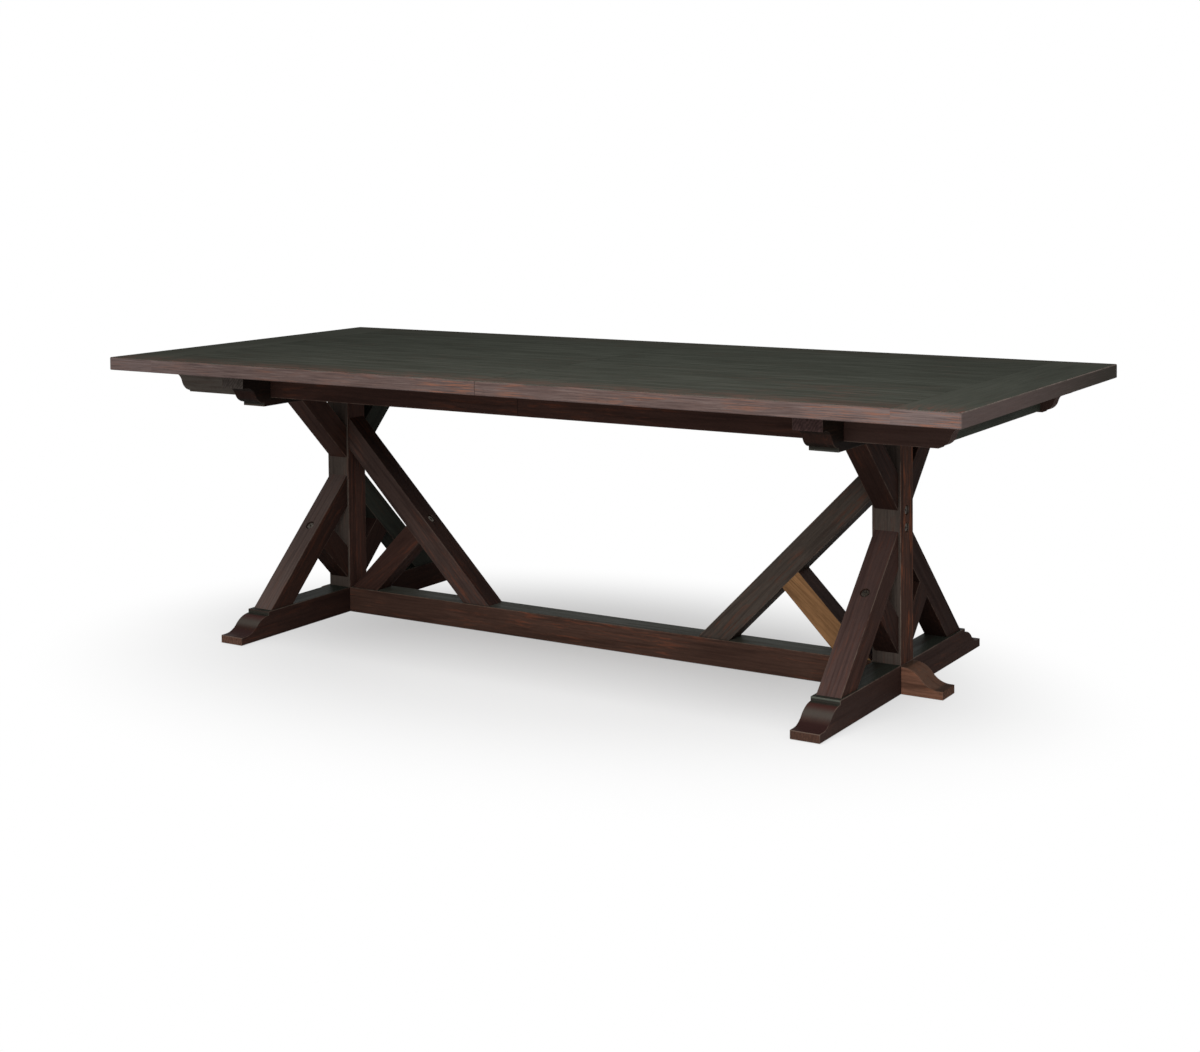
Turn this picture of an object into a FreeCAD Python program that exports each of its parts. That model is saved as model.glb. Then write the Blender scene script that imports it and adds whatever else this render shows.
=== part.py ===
import FreeCAD, Part
import math
import os
import Sketcher

# Extending trestle dining table, shown closed.
# Frame: origin on the floor under the middle of the table, X along its length, Y along its width
# with the front at -Y, Z up. Millimetres.
# The trestle base and the rails under the top stand still. The top is two halves, which slide apart
# along X on wooden slides and make room for a loose leaf. A pinion in each fixed runner meshes with a
# rack in each half's slide, so that both halves always move the same way outwards.

Vector = FreeCAD.Vector
DOCUMENT = FreeCAD.newDocument("extending_dining_table")
SHEET = DOCUMENT.addObject("Spreadsheet::Sheet", "Sizes")
NODES = []


class Size:
    """A length with the sheet expression that gives it."""

    def __init__(self, number, text):
        self.number = float(number)
        self.text = text

    def __add__(self, other):
        other = as_size(other)
        return Size(self.number + other.number, "(%s + %s)" % (self.text, other.text))

    def __sub__(self, other):
        other = as_size(other)
        return Size(self.number - other.number, "(%s - %s)" % (self.text, other.text))

    def __mul__(self, share):
        share = as_size(share)
        return Size(self.number * share.number, "(%s * %s)" % (self.text, share.text))

    def __truediv__(self, share):
        share = as_size(share)
        return Size(self.number / share.number, "(%s / %s)" % (self.text, share.text))

    def __neg__(self):
        return self * -1

    __rmul__ = __mul__


def as_size(value):
    return value if isinstance(value, Size) else Size(value, "(%.12g)" % value)


def root(square):
    return Size(math.sqrt(square.number), "sqrt(%s)" % square.text)


def cell(alias, number):
    """Writes one driving dimension into the sheet."""
    row = len(SHEET.getUsedCells()) // 2 + 1
    SHEET.set("A%d" % row, alias)
    SHEET.set("B%d" % row, "%g" % number)
    SHEET.setAlias("B%d" % row, alias)
    return Size(number, "Sizes." + alias)


NOUGHT = as_size(0)
SLANT = math.sqrt(2)

# Whole table
table_length = cell("table_length", 2489)
table_width = cell("table_width", 1067)
table_height = cell("table_height", 762)
leaf_length = cell("leaf_length", 508)
overrun = cell("overrun", 1)

# Top
top_thickness = cell("top_thickness", 35)
edge_round = cell("edge_round", 2.5)
end_board_width = cell("end_board_width", 160)
end_corner_round = cell("end_corner_round", 6)
end_tongue_reach = cell("end_tongue_reach", 20)
end_tongue_thickness = cell("end_tongue_thickness", 12)
end_tongue_inset = cell("end_tongue_inset", 35)
end_groove_clearance = cell("end_groove_clearance", 0.2)

# Pins in the seam of the top
seam_pin_radius = cell("seam_pin_radius", 5)
seam_pin_reach = cell("seam_pin_reach", 18)
seam_pin_clearance = cell("seam_pin_clearance", 0.08)
seam_pin_spread = cell("seam_pin_spread", 410)

# Trestles
trestle_inset = cell("trestle_inset", 388.5)
post_width = cell("post_width", 75)
arris = cell("arris", 1.5)
foot_top = cell("foot_top", 71.5)
glide_stand = cell("glide_stand", 1.5)
glide_radius = cell("glide_radius", 14)
glide_seat = cell("glide_seat", 2.5)
glide_inset = cell("glide_inset", 24)
toe_height = cell("toe_height", 22)
foot_reach = cell("foot_reach", 482)
toe_flat = cell("toe_flat", 16)
step_height = cell("step_height", 10)
foot_curve_run = cell("foot_curve_run", 90)
outer_foot_drop = cell("outer_foot_drop", 3)
outer_foot_length = cell("outer_foot_length", 107)
outer_foot_flat = cell("outer_foot_flat", 5)
outer_foot_run = cell("outer_foot_run", 92)
beam_depth = cell("beam_depth", 93)
beam_reach = cell("beam_reach", 462)
beam_end_flat = cell("beam_end_flat", 14)
beam_curve_run = cell("beam_curve_run", 68)
beam_curve_rise = cell("beam_curve_rise", 46)
tenon_width = cell("tenon_width", 40)
tenon_depth = cell("tenon_depth", 30)
side_tenon_depth = cell("side_tenon_depth", 14)

# Braces and struts, all at 45 degrees
brace_width = cell("brace_width", 63)
brace_gap = cell("brace_gap", 52)
long_brace_drop = cell("long_brace_drop", 73.5)
side_strut_height = cell("side_strut_height", 144.5)
long_strut_gap = cell("long_strut_gap", 6)

# Bolts that show
bolt_recess_radius = cell("bolt_recess_radius", 12.5)
bolt_recess_depth = cell("bolt_recess_depth", 8)
bolt_head_radius = cell("bolt_head_radius", 9.5)
bolt_head_height = cell("bolt_head_height", 5)
bolt_socket_radius = cell("bolt_socket_radius", 3.4)
bolt_socket_depth = cell("bolt_socket_depth", 3)
bolt_radius = cell("bolt_radius", 4)
bolt_hold = cell("bolt_hold", 45)
bolt_clearance = cell("bolt_clearance", 0.2)
post_bolt_spread = cell("post_bolt_spread", 21)
post_bolt_length = cell("post_bolt_length", 42)

# Rails under the top
frame_gap = cell("frame_gap", 1)
apron_face = cell("apron_face", 355)
apron_thickness = cell("apron_thickness", 35)
apron_depth = cell("apron_depth", 71)
apron_lap_depth = cell("apron_lap_depth", 36)
apron_lip = cell("apron_lip", 4)
apron_inset = cell("apron_inset", 124.5)
apron_curve_run = cell("apron_curve_run", 60)
apron_curve_rise = cell("apron_curve_rise", 46)
apron_end_flat = cell("apron_end_flat", 6)
end_rail_set_back = cell("end_rail_set_back", 5)
block_leg = cell("block_leg", 50)
block_height = cell("block_height", 50)
splice_length = cell("splice_length", 200)
splice_thickness = cell("splice_thickness", 18)
splice_height = cell("splice_height", 60)
centre_rail_width = cell("centre_rail_width", 90)
centre_rail_thickness = cell("centre_rail_thickness", 18)

# Runners and slides
runner_spread = cell("runner_spread", 200)
runner_drop = cell("runner_drop", 6)
runner_width = cell("runner_width", 44)
runner_height = cell("runner_height", 45)
slide_width = cell("slide_width", 32)
slide_lift = cell("slide_lift", 2)
slide_gap = cell("slide_gap", 0.5)
slide_clearance = cell("slide_clearance", 1.5)
slide_inner_reach = cell("slide_inner_reach", 450)
slide_end_gap = cell("slide_end_gap", 11)
tongue_reach = cell("tongue_reach", 9)
tongue_height = cell("tongue_height", 12)
tongue_drop = cell("tongue_drop", 8)
tongue_clearance = cell("tongue_clearance", 0.25)
tongue_end_clearance = cell("tongue_end_clearance", 1)

# Pinions and racks
rack_sink = cell("rack_sink", 1.5)
rack_above_slide = cell("rack_above_slide", 5)
rack_height = cell("rack_height", 10)
rack_back = cell("rack_back", 4.5)
pinion_thickness = cell("pinion_thickness", 8)
pinion_side_clearance = cell("pinion_side_clearance", 0.3)
pinion_slot_margin = cell("pinion_slot_margin", 1)
pinion_pin_radius = cell("pinion_pin_radius", 4)
pinion_pin_length = cell("pinion_pin_length", 23)
pinion_running_fit = cell("pinion_running_fit", 0.05)

# Screws that hold the slides and runners
screw_radius = cell("screw_radius", 2.5)
screw_clearance = cell("screw_clearance", 0.2)
screw_head_radius = cell("screw_head_radius", 4.8)
screw_head_height = cell("screw_head_height", 3)
screw_bite = cell("screw_bite", 20)
screw_seat_depth = cell("screw_seat_depth", 14)
screw_first = cell("screw_first", 60)
screw_end_inset = cell("screw_end_inset", 65)
runner_screw_spread = cell("runner_screw_spread", 20)
runner_screw_bite = cell("runner_screw_bite", 30)
runner_screw_seat = cell("runner_screw_seat", 5)

# Catches that lock the closed halves together
catch_clearance = cell("catch_clearance", 10.5)
catch_set_back = cell("catch_set_back", 28)
catch_plate_length = cell("catch_plate_length", 44)
catch_plate_width = cell("catch_plate_width", 36)
catch_plate_thickness = cell("catch_plate_thickness", 3)
catch_stud_radius = cell("catch_stud_radius", 4)
catch_head_radius = cell("catch_head_radius", 7)
catch_head_height = cell("catch_head_height", 2)
lever_thickness = cell("lever_thickness", 4)
lever_half_width = cell("lever_half_width", 9)
lever_tab = cell("lever_tab", 10)
lever_float = cell("lever_float", 0.3)
lever_slot_clearance = cell("lever_slot_clearance", 0.4)

# Counts and shares
SLIDE_SCREWS = 4
PINION_TEETH = 26
RACK_SPARE_TEETH = 5
PRESSURE_ANGLE = math.radians(20)
TOOTH_THINNING_SHARE = 0.05
ADDENDUM_SHARE = 1.0
DEDENDUM_SHARE = 1.25
FLANK_STEPS = 4
LOWER_BRACE_SHARE = 0.634
EVEN_SHARE = 0.5
FOOT_CURVE_SHARE = 0.55
TINY_SHARE = 1e-6

# Sizes that follow from the driving ones
half_length = table_length / 2
half_width = table_width / 2
half_post = post_width / 2
travel = leaf_length / 2
top_underside = table_height - top_thickness
top_middle = table_height - top_thickness / 2
frame_top = top_underside - frame_gap
panel_reach = half_length - end_board_width
pin_hole_radius = seam_pin_radius + seam_pin_clearance

trestle_reach = half_length - trestle_inset
step_reach = foot_reach - toe_flat - foot_curve_run
foot_step_bottom = foot_top - step_height
outer_foot_top = foot_top - outer_foot_drop
beam_bottom = frame_top - beam_depth
beam_step_reach = beam_reach - beam_end_flat - beam_curve_run

# The lower braces take their share of the post's clear height, and the upper braces the rest above a
# gap. The post's bolts sit about the middle of that gap.
brace_slope = brace_width * SLANT
braced_height = beam_bottom - foot_top - brace_gap
lower_brace_rise = braced_height * LOWER_BRACE_SHARE
lower_brace_reach = lower_brace_rise + half_post
upper_brace_reach = braced_height - lower_brace_rise + half_post
long_brace_reach = beam_bottom - long_brace_drop - foot_top + half_post
post_bolt_height = foot_top + lower_brace_rise + brace_gap / 2

apron_inner = apron_face - apron_thickness
apron_bottom = frame_top - apron_depth
apron_lap = frame_top - apron_lap_depth
apron_lip_reach = half_length - apron_inset
apron_end = apron_lip_reach + apron_curve_run + apron_end_flat
end_rail_face = apron_lip_reach - end_rail_set_back
end_rail_inner = end_rail_face - apron_thickness
end_rail_bottom = apron_bottom + apron_lip

runner_top = frame_top - runner_drop
runner_bottom = runner_top - runner_height
slide_bottom = runner_bottom + slide_lift
slide_depth = top_underside - slide_bottom
slide_inner_face = runner_width / 2 + slide_gap
slide_outer_face = slide_inner_face + slide_width
slide_outer_reach = end_rail_inner - travel - slide_end_gap
notch_half = slide_outer_face + slide_clearance
tongue_top = runner_top - tongue_drop
tongue_bottom = tongue_top - tongue_height
screw_pitch = (slide_outer_reach - screw_first - screw_end_inset) / (SLIDE_SCREWS - 1)

# The racks' tips lie a little inside the slides' faces, which gives the pinion's size.
rack_tips = slide_inner_face + rack_sink
pitch_radius = rack_tips / (1 - ADDENDUM_SHARE * 2 / PINION_TEETH)
gear_module = pitch_radius * 2 / PINION_TEETH
tip_radius = pitch_radius + gear_module * ADDENDUM_SHARE
rack_roots = pitch_radius + gear_module * DEDENDUM_SHARE
rack_seat = rack_roots + rack_back
rack_pitch = gear_module * math.pi
rack_bottom = slide_bottom + rack_above_slide
rack_top = rack_bottom + rack_height
RACK_TEETH_AHEAD = math.ceil(travel.number / rack_pitch.number) + RACK_SPARE_TEETH
rack_start = rack_pitch * -RACK_SPARE_TEETH
rack_end = rack_pitch * RACK_TEETH_AHEAD
pinion_bottom = rack_bottom + (rack_height - pinion_thickness) / 2

lever_top = top_underside - catch_plate_thickness - lever_float
lever_bottom = lever_top - lever_thickness
lever_arm = catch_set_back * 2
lever_tip = lever_arm + lever_half_width + lever_tab
catch_spread = runner_spread - slide_outer_face - lever_tip - catch_clearance

# Directions and turns
TO_LEFT = FreeCAD.Rotation(Vector(0, 0, 1), 180)
AS_DRAWN = FreeCAD.Rotation()
PLANE_TURNS = {
    "XY_Plane": FreeCAD.Rotation(),
    "XZ_Plane": FreeCAD.Rotation(Vector(1, 0, 0), 90),
    "YZ_Plane": FreeCAD.Rotation(Vector(1, 1, 1), 120),
}
LEVEL_SIGNS = {"XY_Plane": 1, "XZ_Plane": -1, "YZ_Plane": 1}


def bind(thing, path, size):
    """Binds one property of a document object to an expression of the sheet."""
    thing.setExpression(path, as_size(size).text)


def place(thing, spot, turn=AS_DRAWN):
    """Puts an object at a bound place, turned as given."""
    thing.Placement = FreeCAD.Placement(Vector(), turn)
    for axis, size in zip("xyz", spot):
        bind(thing, "Placement.Base." + axis, size)
    return thing


def keep(thing, label):
    """Counts an object as a sub-part of the table under its own name."""
    thing.Label = label
    NODES.append(thing)
    return thing


def new_body(label):
    return DOCUMENT.addObject("PartDesign::Body", label)


def draw_edges(sketch, outline):
    """Draws a closed outline of corners. A corner may also say that an arc leads to it, about which
    centre and which way round (1 against the clock, -1 with it)."""
    first = sketch.GeometryCount
    ends = []
    corners = [(as_size(corner[0]), as_size(corner[1])) for corner in outline]
    for index, corner in enumerate(outline):
        start = corners[index - 1]
        finish = corners[index]
        from_point = Vector(start[0].number, start[1].number, 0)
        to_point = Vector(finish[0].number, finish[1].number, 0)
        if len(corner) == 2:
            sketch.addGeometry(Part.LineSegment(from_point, to_point))
            ends.append((1, 2))
            continue
        centre_x, centre_y, way = corner[2]
        centre = Vector(as_size(centre_x).number, as_size(centre_y).number, 0)
        tail, head = (from_point, to_point) if way > 0 else (to_point, from_point)
        tail_angle = math.atan2(tail.y - centre.y, tail.x - centre.x)
        head_angle = math.atan2(head.y - centre.y, head.x - centre.x)
        circle = Part.Circle(centre, Vector(0, 0, 1), (from_point - centre).Length)
        sketch.addGeometry(Part.ArcOfCircle(circle, tail_angle, head_angle))
        ends.append((1, 2) if way > 0 else (2, 1))
    for index, corner in enumerate(outline):
        edge = first + index
        following = first + (index + 1) % len(outline)
        start_end, finish_end = ends[index]
        next_start = ends[(index + 1) % len(outline)][0]
        sketch.addConstraint(Sketcher.Constraint("Coincident", edge, finish_end, following, next_start))
        hold_point(sketch, edge, finish_end, corners[index])
        if len(corner) == 3:
            chord_x = abs(corners[index][0].number - corners[index - 1][0].number)
            chord_y = abs(corners[index][1].number - corners[index - 1][1].number)
            kind = "DistanceY" if chord_x > chord_y else "DistanceX"
            size = as_size(corner[2][1] if kind == "DistanceY" else corner[2][0])
            hold(sketch, kind, edge, 3, size)


def hold(sketch, kind, edge, end, size):
    """Ties one coordinate of a sketch point to the sheet."""
    number = sketch.addConstraint(Sketcher.Constraint(kind, -1, 1, edge, end, size.number))
    bind(sketch, "Constraints[%d]" % number, size)


def hold_point(sketch, edge, end, corner):
    hold(sketch, "DistanceX", edge, end, corner[0])
    hold(sketch, "DistanceY", edge, end, corner[1])


def draw_circles(sketch, centres, radius):
    """Draws equal circles."""
    for centre in centres:
        spot = (as_size(centre[0]), as_size(centre[1]))
        middle = Vector(spot[0].number, spot[1].number, 0)
        edge = sketch.addGeometry(Part.Circle(middle, Vector(0, 0, 1), radius.number))
        hold_point(sketch, edge, 3, spot)
        number = sketch.addConstraint(Sketcher.Constraint("Radius", edge, radius.number))
        bind(sketch, "Constraints[%d]" % number, radius)


def body_sketch(body, role, level, outlines=(), circles=(), radius=None):
    """A sketch on one of the body's origin planes, at a height along the world axis across it."""
    sketch = body.newObject("Sketcher::SketchObject", body.Name + "_sketch")
    plane = next(item for item in body.Origin.OriginFeatures if item.Role == role)
    sketch.AttachmentSupport = [(plane, "")]
    sketch.MapMode = "FlatFace"
    bind(sketch, "AttachmentOffset.Base.z", as_size(level) * LEVEL_SIGNS[role])
    for outline in outlines:
        draw_edges(sketch, outline)
    if circles:
        draw_circles(sketch, circles, radius)
    return sketch


def pad(body, role, middle, length, outlines=(), circles=(), radius=None):
    """Adds material to both sides of a sketch, half the length each way."""
    sketch = body_sketch(body, role, middle, outlines, circles, radius)
    feature = body.newObject("PartDesign::Pad", body.Name + "_pad")
    feature.Profile = sketch
    feature.SideType = "Symmetric"
    bind(feature, "Length", length)
    return feature


def pocket(body, role, middle, length, outlines=(), circles=(), radius=None):
    """Cuts to both sides of a sketch, half the length each way, and proves that it cut."""
    DOCUMENT.recompute()
    before = body.Shape.Volume
    sketch = body_sketch(body, role, middle, outlines, circles, radius)
    feature = body.newObject("PartDesign::Pocket", body.Name + "_pocket")
    feature.Profile = sketch
    feature.SideType = "Symmetric"
    bind(feature, "Length", length)
    DOCUMENT.recompute()
    if not body.Shape.Volume < before:
        raise ValueError("a pocket of %s cut nothing" % body.Name)
    return feature


def soften(body, radius, choose):
    """Rounds the edges of the body that the given test chooses."""
    DOCUMENT.recompute()
    base = body.Tip
    names = ["Edge%d" % (number + 1) for number, edge in enumerate(base.Shape.Edges) if choose(edge)]
    feature = body.newObject("PartDesign::Fillet", body.Name + "_fillet")
    feature.Base = (base, names)
    bind(feature, "Radius", radius)
    return feature


def runs_along(axis):
    """A test for straight edges along one axis."""
    def test(edge):
        if not isinstance(edge.Curve, Part.Line):
            return False
        direction = edge.tangentAt(edge.FirstParameter)
        return abs(getattr(direction, axis)) > 1 - TINY_SHARE
    return test


def lies_at(axis, sizes):
    """A test for edges that lie wholly at one of some levels along an axis."""
    levels = [as_size(size).number for size in sizes]

    def test(edge):
        box = edge.BoundBox
        low = getattr(box, axis.upper() + "Min")
        high = getattr(box, axis.upper() + "Max")
        near = TINY_SHARE * table_length.number
        return any(abs(low - level) < near and abs(high - level) < near for level in levels)
    return test


def rectangle(low_x, high_x, low_y, high_y):
    return [(low_x, low_y), (high_x, low_y), (high_x, high_y), (low_x, high_y)]


def arc_radius(run, rise):
    """The radius of an arc that leaves level and climbs a rise over a run."""
    return (run * run + rise * rise) / (rise * 2)


def curve_points(start, run, rise, first_share=EVEN_SHARE):
    """The two arcs of an ogee from a start corner, level at both ends: middle and end corners. The
    first arc takes its share of the run and of the rise."""
    start_x, start_y = start
    size_x = as_size(run)
    size_y = as_size(rise)
    up = 1 if size_y.number > 0 else -1
    way = up if size_x.number > 0 else -up
    first_x = size_x * first_share
    first_y = size_y * first_share
    first_radius = arc_radius(first_x, first_y)
    last_radius = arc_radius(size_x - first_x, size_y - first_y)
    middle = (start_x + first_x, start_y + first_y, (start_x, start_y + first_radius, way))
    end_x = start_x + size_x
    end_y = start_y + size_y
    end = (end_x, end_y, (end_x, end_y - last_radius, -way))
    return [middle, end]


def box(label, low, high):
    """A plain board between two corners."""
    board = DOCUMENT.addObject("Part::Box", label)
    for name, start, finish in zip(("Length", "Width", "Height"), low, high):
        bind(board, name, as_size(finish) - start)
    return place(board, low)


def rod(label, spot, radius, length, turn=AS_DRAWN):
    """A round bar along the turned Z axis."""
    bar = DOCUMENT.addObject("Part::Cylinder", label)
    bind(bar, "Radius", radius)
    bind(bar, "Height", length)
    return place(bar, spot, turn)


def fused(label, pieces):
    joined = DOCUMENT.addObject("Part::MultiFuse", label)
    joined.Shapes = pieces
    return joined


def group(label, pieces):
    """Equal pieces that share one node."""
    gathered = DOCUMENT.addObject("Part::Compound", label)
    gathered.Links = pieces
    return keep(gathered, label)


def raised(label, role, level, length, outlines=(), circles=(), radius=None):
    """Separate solids that stand on one free sketch, raised from its level."""
    sketch = DOCUMENT.addObject("Sketcher::SketchObject", label + "_sketch")
    axis = {"XY_Plane": "z", "XZ_Plane": "y", "YZ_Plane": "x"}[role]
    sketch.Placement = FreeCAD.Placement(Vector(), PLANE_TURNS[role])
    bind(sketch, "Placement.Base." + axis, level)
    for outline in outlines:
        draw_edges(sketch, outline)
    if circles:
        draw_circles(sketch, circles, radius)
    raise_up = DOCUMENT.addObject("Part::Extrusion", label)
    raise_up.Base = sketch
    raise_up.DirMode = "Normal"
    raise_up.Solid = True
    bind(raise_up, "LengthFwd", length)
    return raise_up


def make_stretcher():
    """The long floor rail between the trestles, with a tenon at each end."""
    body = new_body("stretcher")
    shoulder = (trestle_reach - half_post) * 2
    middle = (foot_top + glide_stand) / 2
    half_tenon = tenon_width / 2
    pad(body, "YZ_Plane", NOUGHT, shoulder, [rectangle(-half_post, half_post, glide_stand, foot_top)])
    soften(body, arris, runs_along("x"))
    pad(body, "YZ_Plane", NOUGHT, shoulder + side_tenon_depth * 2,
        [rectangle(-half_tenon, half_tenon, middle - half_tenon, middle + half_tenon)])
    keep(body, "stretcher")


def make_cross_foot(label, side, turn):
    """The foot of a trestle, across the table, with an ogee down to a toe at each end."""
    body = new_body(label)
    fall = toe_height - foot_step_bottom
    left_step = (-step_reach, foot_step_bottom)
    right_step = (step_reach, foot_step_bottom)
    left = curve_points(left_step, -foot_curve_run, fall, FOOT_CURVE_SHARE)
    right = curve_points(right_step, foot_curve_run, fall, FOOT_CURVE_SHARE)
    outline = [(-foot_reach, glide_stand), (foot_reach, glide_stand), (foot_reach, toe_height)]
    outline += [(foot_reach - toe_flat, toe_height)] + reverse_curve(right, right_step)
    outline += [(step_reach, foot_top), (-step_reach, foot_top), left_step] + left
    outline += [(-foot_reach, toe_height)]
    pad(body, "YZ_Plane", NOUGHT, post_width, [outline])
    shows = lies_at("x", [-half_post, half_post])
    lip = lies_at("y", [-step_reach, step_reach])
    soften(body, arris, lambda edge: shows(edge) and not lip(edge))
    half_tenon = tenon_width / 2
    pocket(body, "XY_Plane", foot_top - (tenon_depth - overrun) / 2, tenon_depth + overrun,
           [rectangle(-half_tenon, half_tenon, -half_tenon, half_tenon)])
    middle = (foot_top + glide_stand) / 2
    pocket(body, "YZ_Plane", half_post - (side_tenon_depth - overrun) / 2, side_tenon_depth + overrun,
           [rectangle(-half_tenon, half_tenon, middle - half_tenon, middle + half_tenon)])
    glide_spot = foot_reach - glide_inset
    pocket(body, "XY_Plane", glide_stand + (glide_seat - overrun) / 2, glide_seat + overrun,
           circles=[(NOUGHT, glide_spot), (NOUGHT, -glide_spot)], radius=glide_radius)
    place(keep(body, label), (trestle_reach * side, NOUGHT, NOUGHT), turn)


def reverse_curve(curve, start):
    """The same ogee, walked from its far end back to its start corner."""
    middle, end = curve
    centre_x, centre_y, way = end[2]
    first = (middle[0], middle[1], (centre_x, centre_y, -way))
    centre_x, centre_y, way = middle[2]
    return [first, (start[0], start[1], (centre_x, centre_y, -way))]


def make_outer_foot(label, side, turn):
    """The short foot that runs on outwards along the table from a cross foot."""
    body = new_body(label)
    start = (outer_foot_flat, outer_foot_top)
    curve_end = outer_foot_flat + outer_foot_run
    curve = curve_points(start, outer_foot_run, toe_height - outer_foot_top)
    outline = [(NOUGHT, glide_stand), (outer_foot_length, glide_stand), (outer_foot_length, toe_height)]
    outline += [(curve_end, toe_height)] + reverse_curve(curve, start) + [(NOUGHT, outer_foot_top)]
    pad(body, "XZ_Plane", NOUGHT, post_width, [outline])
    soften(body, arris, lies_at("y", [-half_post, half_post]))
    pocket(body, "XY_Plane", glide_stand + (glide_seat - overrun) / 2, glide_seat + overrun,
           circles=[(outer_foot_length - glide_inset, NOUGHT)], radius=glide_radius)
    place(keep(body, label), ((trestle_reach + half_post) * side, NOUGHT, NOUGHT), turn)


def make_post(label, side, turn):
    """The upright of a trestle, tenoned into foot and beam, with two sunk bolts in its outer face."""
    body = new_body(label)
    half_tenon = tenon_width / 2
    pad(body, "XY_Plane", (foot_top + beam_bottom) / 2, beam_bottom - foot_top,
        [rectangle(-half_post, half_post, -half_post, half_post)])
    soften(body, arris, runs_along("z"))
    pad(body, "XY_Plane", (foot_top + beam_bottom) / 2, beam_bottom - foot_top + tenon_depth * 2,
        [rectangle(-half_tenon, half_tenon, -half_tenon, half_tenon)])
    spots = [(NOUGHT, post_bolt_height + post_bolt_spread), (NOUGHT, post_bolt_height - post_bolt_spread)]
    pocket(body, "YZ_Plane", -half_post + (bolt_recess_depth - overrun) / 2, bolt_recess_depth + overrun,
           circles=spots, radius=bolt_recess_radius)
    hole_depth = bolt_recess_depth + post_bolt_length
    pocket(body, "YZ_Plane", -half_post + (hole_depth - overrun) / 2, hole_depth + overrun,
           circles=spots, radius=bolt_radius + bolt_clearance)
    place(keep(body, label), (trestle_reach * side, NOUGHT, NOUGHT), turn)


def make_crossbeam(label, side, turn):
    """The beam across the top of a trestle. Its ends are like a cross foot's upside down, and its top
    is notched for the runners with their slides and half lapped for the aprons."""
    body = new_body(label)
    left_step = (-beam_step_reach, beam_bottom + step_height)
    right_step = (beam_step_reach, beam_bottom + step_height)
    end_bottom = beam_bottom + step_height + beam_curve_rise
    left = curve_points(left_step, -beam_curve_run, beam_curve_rise)
    right = curve_points(right_step, beam_curve_run, beam_curve_rise)
    outline = [(-beam_step_reach, beam_bottom), (beam_step_reach, beam_bottom), right_step]
    outline += right + [(beam_reach, end_bottom), (beam_reach, frame_top)]
    outline += beam_notches(1)
    outline += beam_notches(-1)[::-1]
    outline += [(-beam_reach, frame_top), (-beam_reach, end_bottom)]
    outline += [(beam_end_flat - beam_reach, end_bottom)] + reverse_curve(left, left_step)
    pad(body, "YZ_Plane", NOUGHT, post_width, [outline])
    shows = lies_at("x", [-half_post, half_post])
    lip = lies_at("y", [-beam_step_reach, beam_step_reach])
    below = runner_bottom.number
    soften(body, arris, lambda edge: shows(edge) and not lip(edge) and edge.BoundBox.ZMax < below)
    half_tenon = tenon_width / 2
    pocket(body, "XY_Plane", beam_bottom + (tenon_depth - overrun) / 2, tenon_depth + overrun,
           [rectangle(-half_tenon, half_tenon, -half_tenon, half_tenon)])
    screw_spots = [(runner_screw_spread * end, runner_spread * way) for end in (-1, 1) for way in (-1, 1)]
    pocket(body, "XY_Plane", runner_bottom - (runner_screw_bite - overrun) / 2,
           runner_screw_bite + overrun, circles=screw_spots, radius=screw_radius + screw_clearance)
    place(keep(body, label), (trestle_reach * side, NOUGHT, NOUGHT), turn)


def beam_notches(way):
    """The corners of one side's notches in the beam's top, from outside to inside."""
    return [
        (apron_face * way, frame_top),
        (apron_face * way, apron_lap),
        (apron_inner * way, apron_lap),
        (apron_inner * way, frame_top),
        ((runner_spread + notch_half) * way, frame_top),
        ((runner_spread + notch_half) * way, runner_bottom),
        ((runner_spread - notch_half) * way, runner_bottom),
        ((runner_spread - notch_half) * way, frame_top),
    ]


def make_bar(label, long_side, far_end_slanted, bolt_spots=(), end_bolt=False):
    """A brace or strut in its own frame: it lies along X with its long side at Z 0 and its depth
    towards +Z. The near end is cut at 45 degrees, and the far end too or square."""
    body = new_body(label)
    half = brace_width / 2
    far = long_side - brace_width if far_end_slanted else long_side
    outline = [(NOUGHT, NOUGHT), (long_side, NOUGHT), (far, brace_width), (brace_width, brace_width)]
    pad(body, "XZ_Plane", NOUGHT, brace_width, [outline])
    soften(body, arris, runs_along("x"))
    if bolt_spots:
        pocket(body, "XY_Plane", (bolt_recess_depth - overrun) / 2, bolt_recess_depth + overrun,
               circles=bolt_spots, radius=bolt_recess_radius)
        pocket(body, "XY_Plane", half, brace_width + overrun * 2,
               circles=bolt_spots, radius=bolt_radius + bolt_clearance)
    if end_bolt:
        pocket(body, "YZ_Plane", long_side - (bolt_hold - overrun) / 2, bolt_hold + overrun,
               circles=[(NOUGHT, half)], radius=bolt_radius + bolt_clearance)
    return keep(body, label)


def bar_turn(along, depth):
    """The turn that lays a bar's length and depth along two directions."""
    return FreeCAD.Rotation(Vector(*along), Vector(), Vector(*depth), "XZY")


lower_brace_long = (lower_brace_reach - half_post) * SLANT
upper_brace_long = (upper_brace_reach - half_post) * SLANT
long_brace_long = (long_brace_reach - half_post) * SLANT

# A side strut runs square to the lower brace, from the post's face to the brace's under side.
side_strut_low = side_strut_height - brace_slope / 2
lower_brace_under = lower_brace_reach + foot_top - brace_slope
side_strut_long = (lower_brace_under - side_strut_low - half_post) * SLANT / 2
side_bolt_reach = (lower_brace_reach + foot_top - side_strut_height + half_post) / 2

# A long strut stands on the stretcher beside the post and runs square to the long brace.
long_strut_near = half_post + long_strut_gap
long_strut_long = (long_brace_reach - brace_slope - long_strut_near) * SLANT / 2
long_bolt_reach = (long_brace_reach + long_strut_near + brace_slope / 2) / 2


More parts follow.
